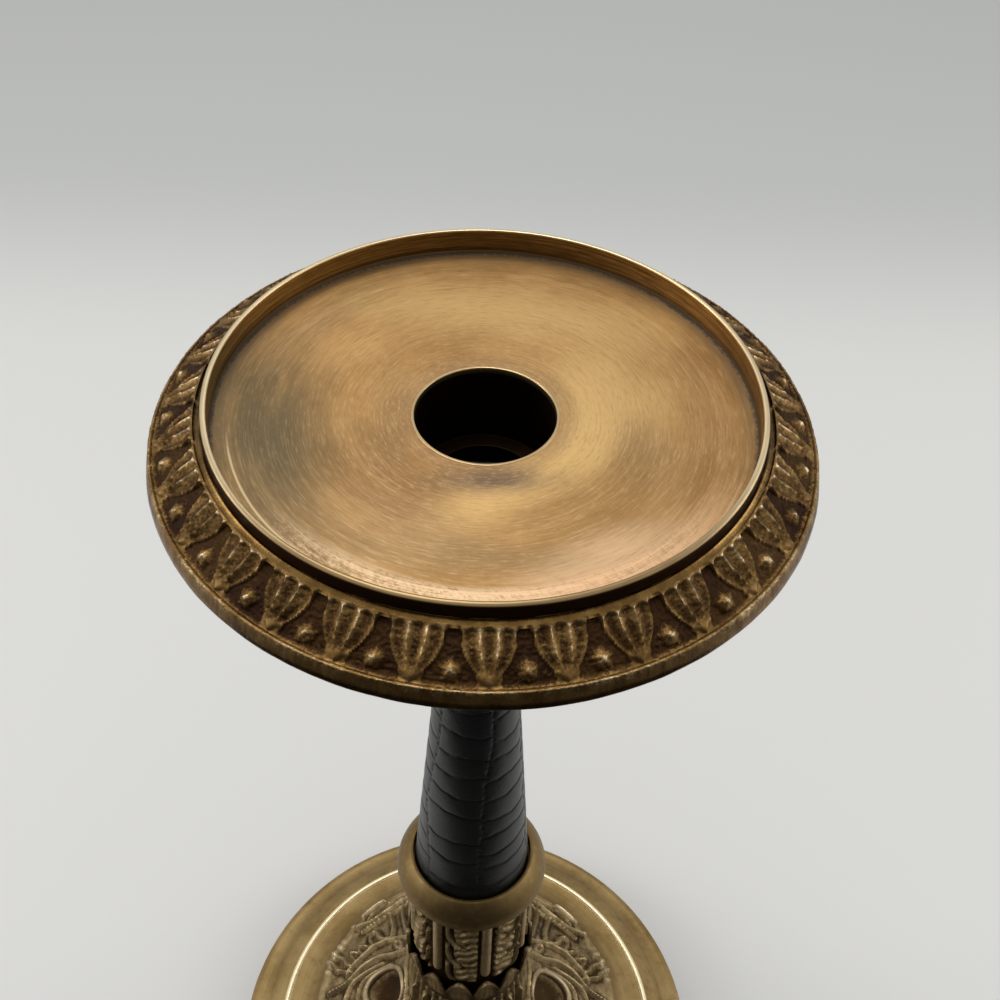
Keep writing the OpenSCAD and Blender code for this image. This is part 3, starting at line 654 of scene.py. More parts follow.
# Three small folds that lie alike in both halves of the leaf
for points, half_start, half_end in (
        ([(15, 0.47), (12.8, 0.58), (9, 0.68), (4, 0.712), (0, 0.716)], 0.6, 0.6),
        ([(17.5, 0.56), (13.5, 0.68), (8.3, 0.765), (3.5, 0.8), (0, 0.81)], 0.6, 0.7),
        ([(26, 0.33), (18, 0.27), (9, 0.255), (0, 0.25)], 0.6, 0.5)):
    mirrored = [(90 - x, y) for x, y in points]
    strokes += [(0.8, points, half_start, half_end), (0.8, mirrored, half_start, half_end)]
fold_lift, crest, seam, roll_sum, hollow = np.zeros((5, len(dome_line), dome_columns + 1))
for tall, points, half_start, half_end in strokes:
    one_crest, outside, roll = stroke(points, half_start, half_end)
    fold_lift = np.maximum(fold_lift, tall * one_crest)
    crest = np.maximum(crest, one_crest)
    seam = np.maximum(seam, np.exp(-((outside - 0.5) / 0.45) ** 2))
    roll_sum += 0.26 * tall * roll

# The scrolls: a hollow inside each loop. Each pair is where a loop's middle lies, in degrees, and
# how far it leans sideways per mm outwards.
scrolls = ((-86, -0.19), (86, 0.19), (0, 0.0), (180, 0.0))
scroll_r, loop_half_w, loop_half_l, bar_r = 20.4, 5.5, 7.7, 0.7
scroll_share = ((scroll_r - dome_top_r) / (dome_edge_r - dome_top_r)) ** (1 / dome_power)
scroll_out = 1 - np.interp(1 - scroll_share, fine_shares, fine_way) / flare_len
fall = (out - scroll_out) * flare_len
for at_turn, lean in scrolls:
    gap = ((turn - at_turn + 180) % 360 - 180) * math.pi / 180 * radius - lean * fall
    hollow = np.maximum(hollow, 1 - smooth(np.hypot(gap / loop_half_w, fall / loop_half_l), 0.5, 0.98))
beads = 0.5 + 0.5 * np.cos(from_scroll * math.tau / 2.9)
beaded = smooth(from_scroll, 12, 16) * (1 - smooth(from_scroll, 27, 31))
fringe = smooth(out, 0.962, 0.98) * on_flare
neck_flutes = (0.5 + 0.5 * np.cos(from_scroll * math.tau / 9)) * (1 - smooth(out, 0.1, 0.22))
fold_lift = fold_lift * (1 - hollow) + roll_sum * (1 - hollow) * smooth(out, 0.04, 0.12)
dome_lift = fold_lift - 1.3 * hollow + fringe * (0.45 + 0.35 * beads * beaded) + 0.7 * neck_flutes
dome_relief = (0.44 + 0.36 * crest - 0.22 * seam * (1 - crest) + 0.1 * roll_sum - 0.4 * hollow
               + fringe * (0.25 + 0.35 * beads * beaded) + 0.2 * neck_flutes)
dome_carving = {"lift": np.clip(dome_lift, -1.5, 1.9) * on_flare,
                "relief": np.clip(np.where(on_flare > 0, dome_relief, 0.35), 0, 1),
                "grain": on_flare * (0.16 - 0.08 * crest)}
ring_piece("cast_scroll_dome", "scroll_dome", dome_line, cast_brass, "cast_brass", 1,
           dome_columns, dome_carving, skin=0.3, waver=0.25)

# The open loops: oval bars that lie along the dome, thicker at their outer ends
loop_steps, bar_steps = 72, 12
upright = np.array([0, 0, 1])
turns = np.linspace(0, math.tau, loop_steps, endpoint=False)[:, None]
loop_fall = -loop_half_l * np.cos(turns)
loop_shares = np.interp((1 - scroll_out) * flare_len - loop_fall, fine_way, fine_shares)
loop_r, loop_rise = dome_r(loop_shares), dome_low + dome_edge_t + dome_flare_h * loop_shares
steep = dome_power * (1 - loop_shares) ** (dome_power - 1) * (dome_edge_r - dome_top_r) / dome_flare_h
loop_bar_r = bar_r * (1.12 - 0.18 * np.cos(turns))


def loop_points(at_turn, lean):
    """The points of one loop, ring by ring along its bar, in metres."""
    angle = math.radians(at_turn) + (loop_half_w * np.sin(turns) + lean * loop_fall) / loop_r
    facing = np.hstack([np.sin(angle), -np.cos(angle), 0 * angle])
    level = np.hstack([np.cos(angle), np.sin(angle), 0 * angle])
    outward = (facing + upright * steep) / np.hypot(1, steep)
    uphill = (upright - facing * steep) / np.hypot(1, steep)
    away = uphill * np.cos(turns) / loop_half_l + level * np.sin(turns) / loop_half_w
    away /= np.linalg.norm(away, axis=1, keepdims=True)
    middle = facing * loop_r + upright * loop_rise
    rings = [middle + outward * (0.55 + loop_bar_r * math.sin(b)) + away * loop_bar_r * math.cos(b)
             for b in np.linspace(0, math.tau, bar_steps, endpoint=False)]
    return np.stack(rings, 1).reshape(-1, 3) * mm


spots = np.vstack([loop_points(*scroll) for scroll in scrolls])
quads = grid_faces(loop_steps, bar_steps)
faces = np.vstack([quads + k * loop_steps * bar_steps for k in range(len(scrolls))])
loop = mesh_piece("loop", spots, faces)
mark(loop, "relief", np.full(len(spots), 0.85))
mark(loop, "grain", np.full(len(spots), 0.2))
fit(set_round("scroll_loops", loop, 1, cast_brass, skin=0.3, waver=0.15), "scroll_dome")


# Calyx
# A thin cast ring of small pointed leaves that open outwards at the foot of the neck. It hides
# the joint between the neck and the dome.
calyx_low, calyx_high = levels("calyx")
calyx_leaves, calyx_columns, calyx_rows = 14, 24, 30
calyx_h = calyx_high - calyx_low
neck_turn = 18.0


def calyx_side(foot_r, spread):
    up = np.linspace(0, 1, calyx_rows)
    return np.stack([foot_r + spread * up ** 2.4, calyx_low + calyx_h * up], 1)


calyx_line = np.vstack([calyx_side(13.75, 1.5), calyx_side(12.45, 1.7)[::-2]])
rise = (calyx_line[:, 1:] - calyx_low) / calyx_h
outside = 1.0 * (np.arange(len(calyx_line))[:, None] < calyx_rows)
across = np.linspace(-1, 1, calyx_columns + 1)[None, :]
leaf_top = 0.56 + 0.44 * (1 - np.abs(across) ** 1.6)
ribs = np.exp(-(across / 0.12) ** 2) + 0.6 * np.exp(-((np.abs(across) - 0.5 * (1 - 0.5 * rise)) / 0.09) ** 2)
crown = (1 - across ** 2) * smooth(rise, 0.0, 0.3)
calyx_relief = outside * (0.12 + 0.4 * crown + 0.4 * ribs * rise + 0.25 * smooth(rise, 0.85, 1))
calyx_carving = {
    "lift": outside * (0.15 * crown + 0.22 * ribs * smooth(rise, 0.1, 0.3)) * (1 - smooth(rise, 0.9, 1)),
    "drop": calyx_h * rise * (1 - leaf_top), "relief": np.clip(calyx_relief, 0, 1), "grain": outside * 0.4}
ring_piece("calyx_of_leaves", "calyx", calyx_line, cast_brass, "cast_brass", calyx_leaves,
           calyx_columns, calyx_carving, turn=neck_turn, skin=0.2)


# Neck
# A cast brass barrel with seven upright rods. Between each two stands a tall leaf, cut deep: a
# curved stem along one side and curled lobes along the other. A plain band closes the top.
neck_low, neck_high = levels("neck")
neck_rods, neck_columns, neck_rows = 7, 448, 118
neck_core, rod_r, rod_out, rod_low = 12.3, 1.2, 0.5, neck_low + 11.5
band_low, band_proud = neck_high - 1.6, 2.1
neck_side = np.stack([np.full(neck_rows, neck_core), np.linspace(neck_low, neck_high, neck_rows)], 1)
neck_line = np.vstack([neck_side, [(rod_hole_r, neck_high), (rod_hole_r, neck_low)]])
height = neck_line[:, 1:]
on_barrel = 1.0 * (neck_line[:, :1] > rod_hole_r)
in_rods = np.linspace(-neck_rods / 2, neck_rods / 2, neck_columns + 1)[None, :]
from_rod = 2 * np.abs(in_rods - np.round(in_rods)) * math.pi * neck_core / neck_rods
rod_tip = smooth(height, rod_low - 1.8, rod_low + 2.2)
rod_here = np.maximum(rod_tip * rod_r, 0.02)
rod_lift = np.sqrt(np.clip(1 - (from_rod / rod_here) ** 2, 0, 1)) * rod_here + rod_out * rod_tip
rod_lift = np.where(from_rod < rod_here, rod_lift, 0) * (height > rod_low - 1.7)

# The leaf panels: in_panel runs from -1 at the stem's side to 1 at the lobes' side, and phase from
# 0 to 1 up each group of lobes
panel = np.floor(in_rods).astype(int) % neck_rods
lobes_to = np.array([-1, 1, -1, 1, 1, -1, 1])[panel]
panel_half, group_pitch = 0.68, 8.6
in_panel = (2 * (in_rods - np.floor(in_rods)) - 1) / panel_half * lobes_to
group = (height - rod_low + 1.5) / group_pitch + 0.1 * np.sin(panel * 2.4)
phase = group - np.floor(group)
stem_at = -0.8 + 0.75 * (1 - phase) ** 4
stem = np.exp(-((in_panel - stem_at) / 0.15) ** 2)
curl = 2.8 * phase ** 1.2 - 0.45 * in_panel + 0.2 + 0.09 * np.sin(7 * in_panel + 3 * group)
lobe_wave = 0.5 + 0.5 * np.cos(math.tau * curl)
notch = smooth(1 - lobe_wave, 0.3, 0.78) * smooth(in_panel, stem_at + 0.34, stem_at + 0.72)
body = smooth(in_panel, stem_at + 0.28, stem_at + 0.46)
body = body * (1 - smooth(in_panel, 0.62 + 0.3 * lobe_wave, 0.78 + 0.3 * lobe_wave))
body = body * smooth(phase, 0.0, 0.07) * (1 - smooth(phase, 0.94, 1.0))
panel_on = smooth(height, rod_low - 4, rod_low + 0.5) * (np.abs(in_panel) < 1.25)
panel_lift = panel_on * np.clip(np.maximum(1.75 * stem, body * (1.5 - 1.35 * notch)), 0.05, 1.9)
band_on = smooth(height, band_low - 0.15, band_low + 0.15)
neck_lift = np.maximum(np.maximum(rod_lift, panel_lift) * (1 - band_on), band_on * band_proud) * on_barrel
panel_relief = panel_on * np.maximum(0.78 * stem, body * (0.7 - 0.7 * notch))
neck_relief = np.maximum(rod_lift / (rod_r + rod_out) * 1.02, panel_relief) - 0.02
neck_relief = np.clip(neck_relief * (1 - band_on) + 0.5 * band_on, 0, 1)
neck_carving = {"lift": neck_lift, "relief": neck_relief,
                "grain": on_barrel * (0.22 + 0.1 * (rod_lift > 0))}
ring_piece("cast_neck", "neck", neck_line, cast_brass, "cast_brass", 1, neck_columns, neck_carving,
           turn=neck_turn, skin=0.25)


# Collar
# A plain turned brass ring, lightly bowed, with a thin lip that the foot of the leather column
# stands in. Its foot covers the neck's band.
column_seat_r, column_low = 13.05, collar_high - 2.6
foot_at, mouth_at = (14.7, collar_low), (13.75, collar_high)
waist_at = (16.7, (collar_low + collar_high) / 2)
collar_line = softened([
    (rod_hole_r, collar_low), (*foot_at, 0.3), *bowed(foot_at, waist_at, -0.85, 12), waist_at,
    *bowed(waist_at, mouth_at, -0.45, 12), (*mouth_at, 0.25), (column_seat_r, collar_high, 0.2),
    (column_seat_r, column_low), (rod_hole_r, column_low)])
ring_piece("turned_collar", "collar", collar_line, turned_brass, "turned_brass")


# Column
# A turned beech core with black leather glued round it. The leather is embossed like crocodile:
# long upright joints, and between them level creases that come every six or seven millimetres.
beech = Finish("core_wood")
drawn_out = {"Vector": beech.place(), "Scale": (900.0, 900.0, 25.0)}
figure = beech.noise(1.0, 5.0, 0.5, beech.node("ShaderNodeMapping", inputs=drawn_out), Distortion=0.6)
beech_tone = beech.mix(figure.ramp(0.3, 0.7), (0.36, 0.22, 0.11), (0.56, 0.38, 0.21))
dress("column_core", beech.surface(
    Base_Color=beech_tone, Roughness=0.6, Normal=beech.bump(figure, 0.08 * mm)))

leather_low, leather_high = levels("leather_wrap")
leather_foot_r, leather_top_r, leather_t = 12.8, 6.5, 0.9
# Turns of the column's upright joints at some heights, in degrees from the front
joint_heights = [102, 107, 109, 114, 119, 123, 127, 132, 138, 143, 146, 152, 156, 170, 192]
front_joint = [9, 9, 9, 7, 8.7, 7.5, 12, 10, 13, 13, 15, 20, 23.5, 24, 22]
left_heights = [102, 113, 119, 125, 130, 136, 143, 150, 155, 161, 192]
left_joint = [-50, -49, -54, -59, -65, -62, -59, -53, -51, -51, -54]
creases_from, creases_to = 102, 191
rng = np.random.default_rng(7)


def creases(seen, pitch):
    """Heights of the creases of one row of plates: those that are given, and more above them."""
    more = list(seen)
    while more[-1] < creases_to:
        more.append(more[-1] + pitch + rng.uniform(-0.9, 0.9))
    return [h for h in more if creases_from < h < creases_to]


plate_creases = [creases([107.8, 117, 123.5, 132.7, 138.9, 145.5, 151.5, 158.4], 6.8),
                 creases([108.1, 114.9, 119.8, 126.0, 131.3, 138.3, 144.4, 150.8, 156.2], 6.5),
                 *[creases([105 + rng.uniform(0, 4)], 6.6) for _ in range(4)]]
# The part that the photo shows has the finer mesh
seen_turn, seen_low, seen_high = 100, 104, 166
wrap_turns = np.concatenate([np.linspace(-seen_turn, seen_turn, 150),
                             np.linspace(seen_turn, 360 - seen_turn, 62)[1:-1]])
wrap_rows = np.concatenate([np.linspace(leather_low, seen_low, 6), np.linspace(seen_low, seen_high, 360)[1:],
                            np.linspace(seen_high, leather_high, 66)[1:]])
h, turn = wrap_rows[:, None], wrap_turns[None, :]
wrap_r = leather_foot_r + (leather_top_r - leather_foot_r) * (h - leather_low) / (leather_high - leather_low)
wander = 3.0 * np.sin(h * 0.42) + 2.0 * np.sin(h * 0.93 + 1.0)
joints = [np.interp(h, left_heights, left_joint), np.interp(h, joint_heights, front_joint),
          78 + wander, 140 - wander, 195 + wander, 248 - wander]


def crease_dent(distance, width):
    return np.exp(-(distance / width) ** 2)


# How deep each spot is dented, and how far in mm it lies from the next joint or crease
joint_w, crease_w, crease_deep, plump, far = 0.3, 0.2, 0.34, 0.13, 9.0
dent = np.zeros((len(wrap_rows), len(wrap_turns)))
puff = np.full(dent.shape, far)
for k, joint in enumerate(joints):
    away = np.abs(turn - joint)
    if k == 0:
        away = np.minimum(away, np.abs(turn - joint - 360))
    away = away * math.pi / 180 * wrap_r
    broken = np.clip(0.42 + 0.75 * np.sin(h * 2.3 + k * 1.7) * np.sin(h * 0.9 + k), 0.08, 1)
    dent = np.maximum(dent, crease_dent(away, joint_w) * broken * (0.45 if k < 2 else 0.7))
    puff = np.minimum(puff, away)
for plates, start, end in zip(plate_creases, joints, [*joints[1:], joints[0] + 360]):
    for lap in (0, 360):
        inside = smooth(turn + lap - start, -1, 5) * (1 - smooth(turn + lap - end, -5, 1))
        share = np.clip((turn + lap - start) / (end - start), 0, 1)
        for number, level in enumerate(plates):
            sag = 0.35 * np.sin(share * 5.0 + number * 1.9) + 0.12 * np.sin(share * 19.0 + number * 3.1)
            away = np.abs(h - level - sag)
            depth = 0.75 + 0.25 * np.sin(share * 4 + number)
            dent = np.maximum(dent, crease_dent(away, crease_w) * inside * depth)
            puff = np.minimum(puff, away + far * (1 - inside))
out_r = wrap_r - plump * np.exp(-puff / 1.3) - crease_deep * dent
in_r = np.array([[leather_top_r], [leather_foot_r]]) - leather_t
wrap_points = np.vstack([spun(out_r, np.radians(turn), h),
                         spun(in_r, np.radians(turn), np.array([[leather_high], [leather_low]]))])
leather = mesh_piece("embossed_leather", wrap_points, grid_faces(len(wrap_rows) + 2, len(wrap_turns)), 60.0)
mark(leather, "relief", np.vstack([1 - dent, np.ones((2, len(wrap_turns)))]))

hide = Finish("black_leather")
open_skin = hide.attribute("relief")
smear = hide.noise(110.0)
hide_tone = hide.mix(smear, (0.0022, 0.0026, 0.0024), (0.0052, 0.006, 0.0056))
hide_tone = hide.mix(open_skin.ramp(0.3, 0.88), (0.0005, 0.0004, 0.0004), hide_tone)
hide_bump = hide.bump(hide.cells(1500.0) * 0.6 + hide.noise(900.0, 4.0, 0.6), 0.05 * mm, 0.55)
leather.data.materials.append(hide.surface(
    Base_Color=hide_tone, Roughness=0.31 + smear * 0.12 + (1 - open_skin) * 0.3, Normal=hide_bump,
    Specular_IOR_Level=0.36))
fit(leather, "leather_wrap")


# Capital ring and capital
# Two turned brass pieces on the thin end of the column: a half-round bead, and a cup that
# spreads from a narrow stem to the flange under the leaf rim. The dish hides them from above.
bead_low, bead_high = levels("capital_ring")
ring_edge_r, bead_half_h = 8.6, (bead_high - bead_low) / 2
bead_arc = arc(ring_edge_r - bead_half_h, (bead_low + bead_high) / 2, bead_half_h, -90, 90, 24)
bead_line = [(rod_hole_r, bead_low), *bead_arc, (rod_hole_r, bead_high)]
ring_piece("turned_bead_ring", "capital_ring", bead_line, turned_brass, "turned_brass")

cap_low, cap_high = levels("capital")
stem_foot, stem_top = (7.2, cap_low), (7.2, cap_low + 3.6)
belly, shoulder = (17.0, socket_low + (cap_high - socket_low) / 3), (16.1, cap_high - 3.6)
flange_half_h, boss_seat_r, socket_seat_r, boss_seat = 0.9, 15.2, 13.6, cap_high - 3.15
cap_line = softened([
    (rod_hole_r, cap_low), (*stem_foot, 0.2), *bowed(stem_foot, stem_top, 0.9, 8), stem_top,
    *bowed(stem_top, belly, -1.8, 20), belly, *bowed(belly, shoulder, -0.9, 14), shoulder,
    *arc(18.6, cap_high - flange_half_h, flange_half_h, -90, 90, 12), (boss_seat_r, cap_high),
    (boss_seat_r, boss_seat), (socket_seat_r, boss_seat), (socket_seat_r, socket_low),
    (rod_hole_r, socket_low)])
ring_piece("turned_capital", "capital", cap_line, turned_brass, "turned_brass")


# Leaf rim
# A cast brass ring that carries the dish. A narrow shelf runs round the dish's lip, then thirty
# broad leaves hang outwards over a rough sunk ground, with a small knob between each two tips.
rim_low = levels("leaf_rim")[0]
dish_low, dish_high = levels("dish")
shelf_z, edge_z, seat_z = dish_high - 2.5, dish_high - 7.9, rim_low + 3.0
rim_leaves, rim_turn, rim_columns, rim_rows, leaf_proud = 30, 1.8, 38, 46, 0.95
dish_seat_r, shelf_r, band_r, rim_edge_r, knob_r = 45.15, 45.7, 53.3, 54.5, 1.65
ground_in, ground_out = (shelf_r, shelf_z - leaf_proud), (band_r, edge_z - leaf_proud)
rim_under = softened([
    (boss_seat_r, rim_low), (shelf_r, rim_low), (rim_edge_r - 0.6, edge_z - 3.7, 0.3),
    (rim_edge_r, edge_z - 3.1, 0.4), (rim_edge_r - 0.65, edge_z, 0.35), (band_r + 0.05, edge_z, 0.15)])
rim_band = [ground_out, *bowed(ground_out, ground_in, -0.35, rim_rows), ground_in]
rim_seat = softened([(dish_seat_r, shelf_z, 0.1), (dish_seat_r, seat_z), (boss_seat_r, seat_z)])
rim_line = np.vstack([
    rim_under, rim_band, [(shelf_r - 0.1, shelf_z - 0.3), (shelf_r - 0.35, shelf_z)], rim_seat])
down = down_band(rim_line, len(rim_under), len(rim_band))
on_band = down >= 0
v = np.maximum(down, 0)
across = np.linspace(-1, 1, rim_columns + 1)[None, :]
side = np.abs(across)
leaf_w = np.interp(v, [0, 0.1, 0.34, 0.52, 0.66, 0.78, 0.86, 0.91],
                   [0.8, 0.78, 0.73, 0.59, 0.42, 0.24, 0.11, 0.0])
over = leaf_w - side
on_leaf = smooth(over, -0.03, 0.03) * (1 - smooth(v, 0.87, 0.92))
arch = 0.02 + 0.08 * ((1 - side) / 0.22) ** 2
raised = np.maximum(on_leaf, 1 - smooth(v, arch - 0.03, arch + 0.05))
in_leaf = across / np.maximum(leaf_w, 0.06)
crown = np.sqrt(np.clip(1 - in_leaf ** 2, 0, 1))
ridge_wave = np.abs(np.sin(1.5 * math.pi * (in_leaf + 1))) ** 0.75
channel_top = 0.03 + 0.04 * in_leaf ** 2 + 0.07 * (1 - ridge_wave)
channel = ridge_wave * smooth(v, channel_top, channel_top + 0.05) * (1 - smooth(v, 0.62, 0.82))
channel = channel * (np.abs(in_leaf) < 1)

# The knob between two tips is a pyramid with five faces
knob_x, knob_y = (side - 1) * math.pi / rim_leaves * rim_line[:, :1], (v - 0.68) * 8.9
facets = [np.cos(a) * knob_x + np.sin(a) * knob_y for a in np.radians(np.arange(5) * 72 + 20)]
knob = np.clip(1 - np.max(facets, axis=0) / knob_r, 0, 1)
strip = smooth(v, 0.84, 0.95)
rounding = 1 - 0.42 * (1 - crown) * smooth(v, 0.08, 0.3)
keel = crown * smooth(v, 0.5, 0.8) * on_leaf
rim_lift = leaf_proud * raised * rounding * (1 - 0.35 * smooth(v, 0.45, 0.86)) - 0.7 * channel + 0.2 * keel
rim_lift = np.maximum(np.maximum(rim_lift, knob * 1.15), strip * 0.66) * on_band

# How far the brass is rubbed, with painted highlights and painted shade on its leaves, and how rough its
# casting stayed
open_ground = smooth(-over, 0.01, 0.15) * (1 - raised)
ridges = (1 - ridge_wave) ** 1.4 * on_leaf * smooth(v, 0.02, 0.09) * (1 - smooth(v, 0.35, 0.8))
arch_rims = on_leaf * np.exp(-((v - channel_top - 0.015) / 0.025) ** 2) * ridge_wave
# The ridges and the thin rims over the channels' tops are made paler, a painted highlight over rubbed brass;
# the channels are darker, as patina and as painted shade, and the ground right at the leaf edges is a little
# darker, painted shade.
rim_relief = 0.03 * open_ground + raised * 0.5 - 0.25 * channel + 0.42 * ridges + 0.26 * arch_rims
rim_relief = np.maximum(np.maximum(rim_relief, 0.05 + knob * 0.85), strip * 0.54)
rim_r, rim_z = rim_line[:, :1], rim_line[:, 1:]
on_shelf = (rim_r > dish_seat_r - 0.05) & (rim_z > shelf_z - 0.35)
on_side = (rim_r > band_r + 0.1) & ~on_band
brink = on_side & (rim_z > edge_z - 0.3) & (rim_r > band_r + 0.25)
plain_relief = np.select([on_shelf, brink, on_side], [0.5, 0.66, 0.34], 0.2)
rough_cast = 0.12 + 0.66 * open_ground * (1 - 0.4 * knob) + 0.42 * channel * smooth(over, 0.02, 0.14)
rim_carving = {"lift": rim_lift, "relief": np.clip(np.where(on_band, rim_relief, plain_relief), 0, 1),
               "grain": np.select([on_band & (v < 0.04), on_band, brink], [0.1, rough_cast, 0.3], 0.02)}
ring_piece("cast_leaf_rim", "leaf_rim", rim_line, cast_brass, "cast_brass", rim_leaves,
           rim_columns, rim_carving, turn=rim_turn, skin=1.3, skin_size=1900.0, waver=0.25)


# Dish
# A turned brass cup that lies in the leaf rim, with a thin upright lip and a flat floor. Years
# of handling left grey patches on it. Its golden patches and the olive one on the left are a
# painted highlight and painted shade of the turned floor, and it is darker in the corner under the lip.
floor_z = dish_high - 5.0
dish_under, sunk_floor = floor_z - 2.6, floor_z - 0.04
dish_r, wall_r, boss_r, thread_r, hole_r = 45.0, 43.95, 15.05, 13.45, 12.05
step_out_r, step_in_r = 38.2, 37.2
dish_line = softened([
    (hole_r, dish_under), (thread_r, dish_under), (thread_r, dish_low, 0.2), (boss_r, dish_low, 0.3),
    (boss_r, dish_under), (dish_r, dish_under), (dish_r, dish_high - 0.35, 0.25),
    (dish_r - 0.55, dish_high, 0.25), (wall_r + 0.03, dish_high - 0.02, 0.22), (wall_r, floor_z, 0.3),
    (step_out_r, floor_z, 0.3), (step_in_r, sunk_floor, 0.3), (hole_r, sunk_floor)])

pan = Finish("worn_dish_brass")
x, y, z, reach = pan.spot()
rings, scratches = lathe_marks(pan, 2600.0, 1.0), lathe_marks(pan, 7500.0, 12.0)
sweeps, brush = lathe_marks(pan, 240.0, 1.6), lathe_marks(pan, 3300.0, 12.0)
haze, cloud, speckle = pan.noise(60.0, 4.0, 0.6), pan.noise(22.0, 2.0), pan.noise(1500.0, 5.0, 0.75)
rubs = pan.noise(1.0, 4.0, at=pan.vector(x * 1900.0 + y * 1300.0, y * 420.0 - x * 260.0, 0.0))


def patch(at_x, at_y, long, wide, turn=0.0, blur=0.85):
    """1 inside an oval on the dish, in mm, and 0 outside, with a cloudy edge."""
    c, s = math.cos(math.radians(turn)), math.sin(math.radians(turn))
    off_x, off_y = x / mm - at_x, y / mm - at_y
    u, w = (off_x * c + off_y * s) / long, (off_y * c - off_x * s) / wide
    return ((u * u + w * w) ** 0.5 + (haze - 0.5) * 0.45 + (sweeps - 0.5) * 0.7).ramp(1 + blur, 1 - blur)


# The patches: where each oval lies, how long, wide and turned it is, how strongly it covers the
# brass, and its colour. The gold ones are a painted highlight and the olive one a painted shade,
# the bright and dark parts of the turned floor's sheen.
olive, grey_brown = (0.118, 0.093, 0.052), (0.23, 0.155, 0.082)
gold, plum, copper = (0.68, 0.44, 0.175), (0.16, 0.108, 0.07), (0.8, 0.5, 0.29)
patches = [
    ((-35, -7, 9.5, 24.0, 12.0), 0.92, olive), ((-20, -29, 13.0, 4.5, -36.0), 0.35, grey_brown),
    ((-28, 24, 14.0, 3.0, 46.0), 0.4, grey_brown), ((2, 27, 26.0, 6.0, -5.0), 0.65, gold),
    ((10, -10.5, 25.0, 4.8, 42.0), 0.9, gold), ((1, -15.2, 8.0, 2.6, 6.0), 0.95, plum),
    ((-14, -16.0, 8.0, 6.0, -30.0), 0.45, (0.28, 0.15, 0.066)),
    ((-11, -25.0, 10.0, 4.5, -22.0), 0.65, (0.29, 0.175, 0.085)),
    ((18, -31.0, 12.0, 4.0, 30.0), 0.6, (0.82, 0.56, 0.34)),
    ((16, -2.0, 3.5, 10.0), 0.7, gold), ((-15, -2.0, 3.5, 10.0), 0.35, grey_brown),
    ((17, 8, 6.5, 13.0, -16.0), 0.75, gold), ((37, 2, 5.5, 21.0), 0.45, (0.26, 0.13, 0.045)),
    ((-3, -31, 17.0, 3.0, -3.0), 0.45, grey_brown), ((25, -6, 4.0, 7.0), 0.35, grey_brown)]
ragged = reach + (sweeps - 0.5) * 3.0 * mm
outer_band = ragged.ramp((step_in_r - 0.4) * mm, (step_out_r + 0.4) * mm)
outer_band = outer_band * reach.ramp((wall_r - 0.35) * mm, (wall_r - 1.55) * mm)
streaks = rings * 0.4 + sweeps * 0.45 + (rubs - 0.5) * 0.3 + (speckle - 0.5) * 0.5 + 0.08
coppery = outer_band * patch(16, -37, 30.0, 14.0, 14.0) * streaks.ramp(0.34, 0.58)
pinkish = outer_band * patch(-12, -38, 22.0, 9.0, -12.0) * streaks.ramp(0.38, 0.6)
shine = 1 - patch(-34, -7, 10.0, 26.0, 12.0) * 0.5
# A thin bright arc at 41.2 mm, only in the front left: a painted glint on the turned floor.
fine_ring_glint = (reach - 41.2 * mm).math("ABSOLUTE").ramp(0.3 * mm, 0.05 * mm)
fine_ring_glint = fine_ring_glint * patch(-32, -26, 11.0, 22.0, 42.0, 0.3)
on_floor = z.ramp((floor_z + 1.0) * mm, (floor_z + 0.2) * mm)
on_lip = z.ramp((dish_high - 0.45) * mm, (dish_high - 0.15) * mm)
on_wall = reach.ramp((wall_r - 0.23) * mm, (wall_r - 0.03) * mm) * (1 - on_lip) * (1 - on_floor)
# The outside of the lip is painted near black: painted shade.
shaded_outside_lip = reach.ramp((dish_r - 0.25) * mm, (dish_r - 0.05) * mm) * (1 - on_lip)
greyed = (reach + (sweeps - 0.5) * 2.5 * mm).ramp(40.6 * mm, 43.0 * mm)
greyed = greyed * on_floor * y.ramp(-20 * mm, 10 * mm)
# The floor's corner under the lip is darker, less metallic and rougher.
dark_corner = reach + (speckle - 0.5) * 1.6 * mm + (haze - 0.5) * 1.2 * mm
dark_corner = dark_corner.ramp((wall_r - 0.85) * mm, (wall_r - 0.05) * mm) * on_floor
streak = (rings * 0.6 + brush * 0.4).ramp(0.36, 0.66)
# The inner wall is painted darker on the left and lighter on the right, painted shade and painted light, and
# it turns darker towards the floor.
shaded_left_wall = pan.mix(streak, (0.12, 0.07, 0.018), (0.3, 0.19, 0.06))
lit_right_wall = pan.mix(streak, (0.11, 0.066, 0.022), (0.38, 0.245, 0.098))
wall_tone = pan.coats(
    pan.mix(x.ramp(-38 * mm, 38 * mm), shaded_left_wall, lit_right_wall),
    (z.ramp((floor_z + 2.2) * mm, (floor_z + 0.6) * mm) * 0.75, (0.034, 0.018, 0.006)))
# The top of the lip is painted light at the back and dark at the front: a painted highlight and painted
# shade.
lit_back_lip = pan.mix(scratches, (0.76, 0.57, 0.31), (1.0, 0.84, 0.55))
shaded_front_lip = pan.mix(scratches, (0.22, 0.142, 0.064), (0.37, 0.262, 0.13))
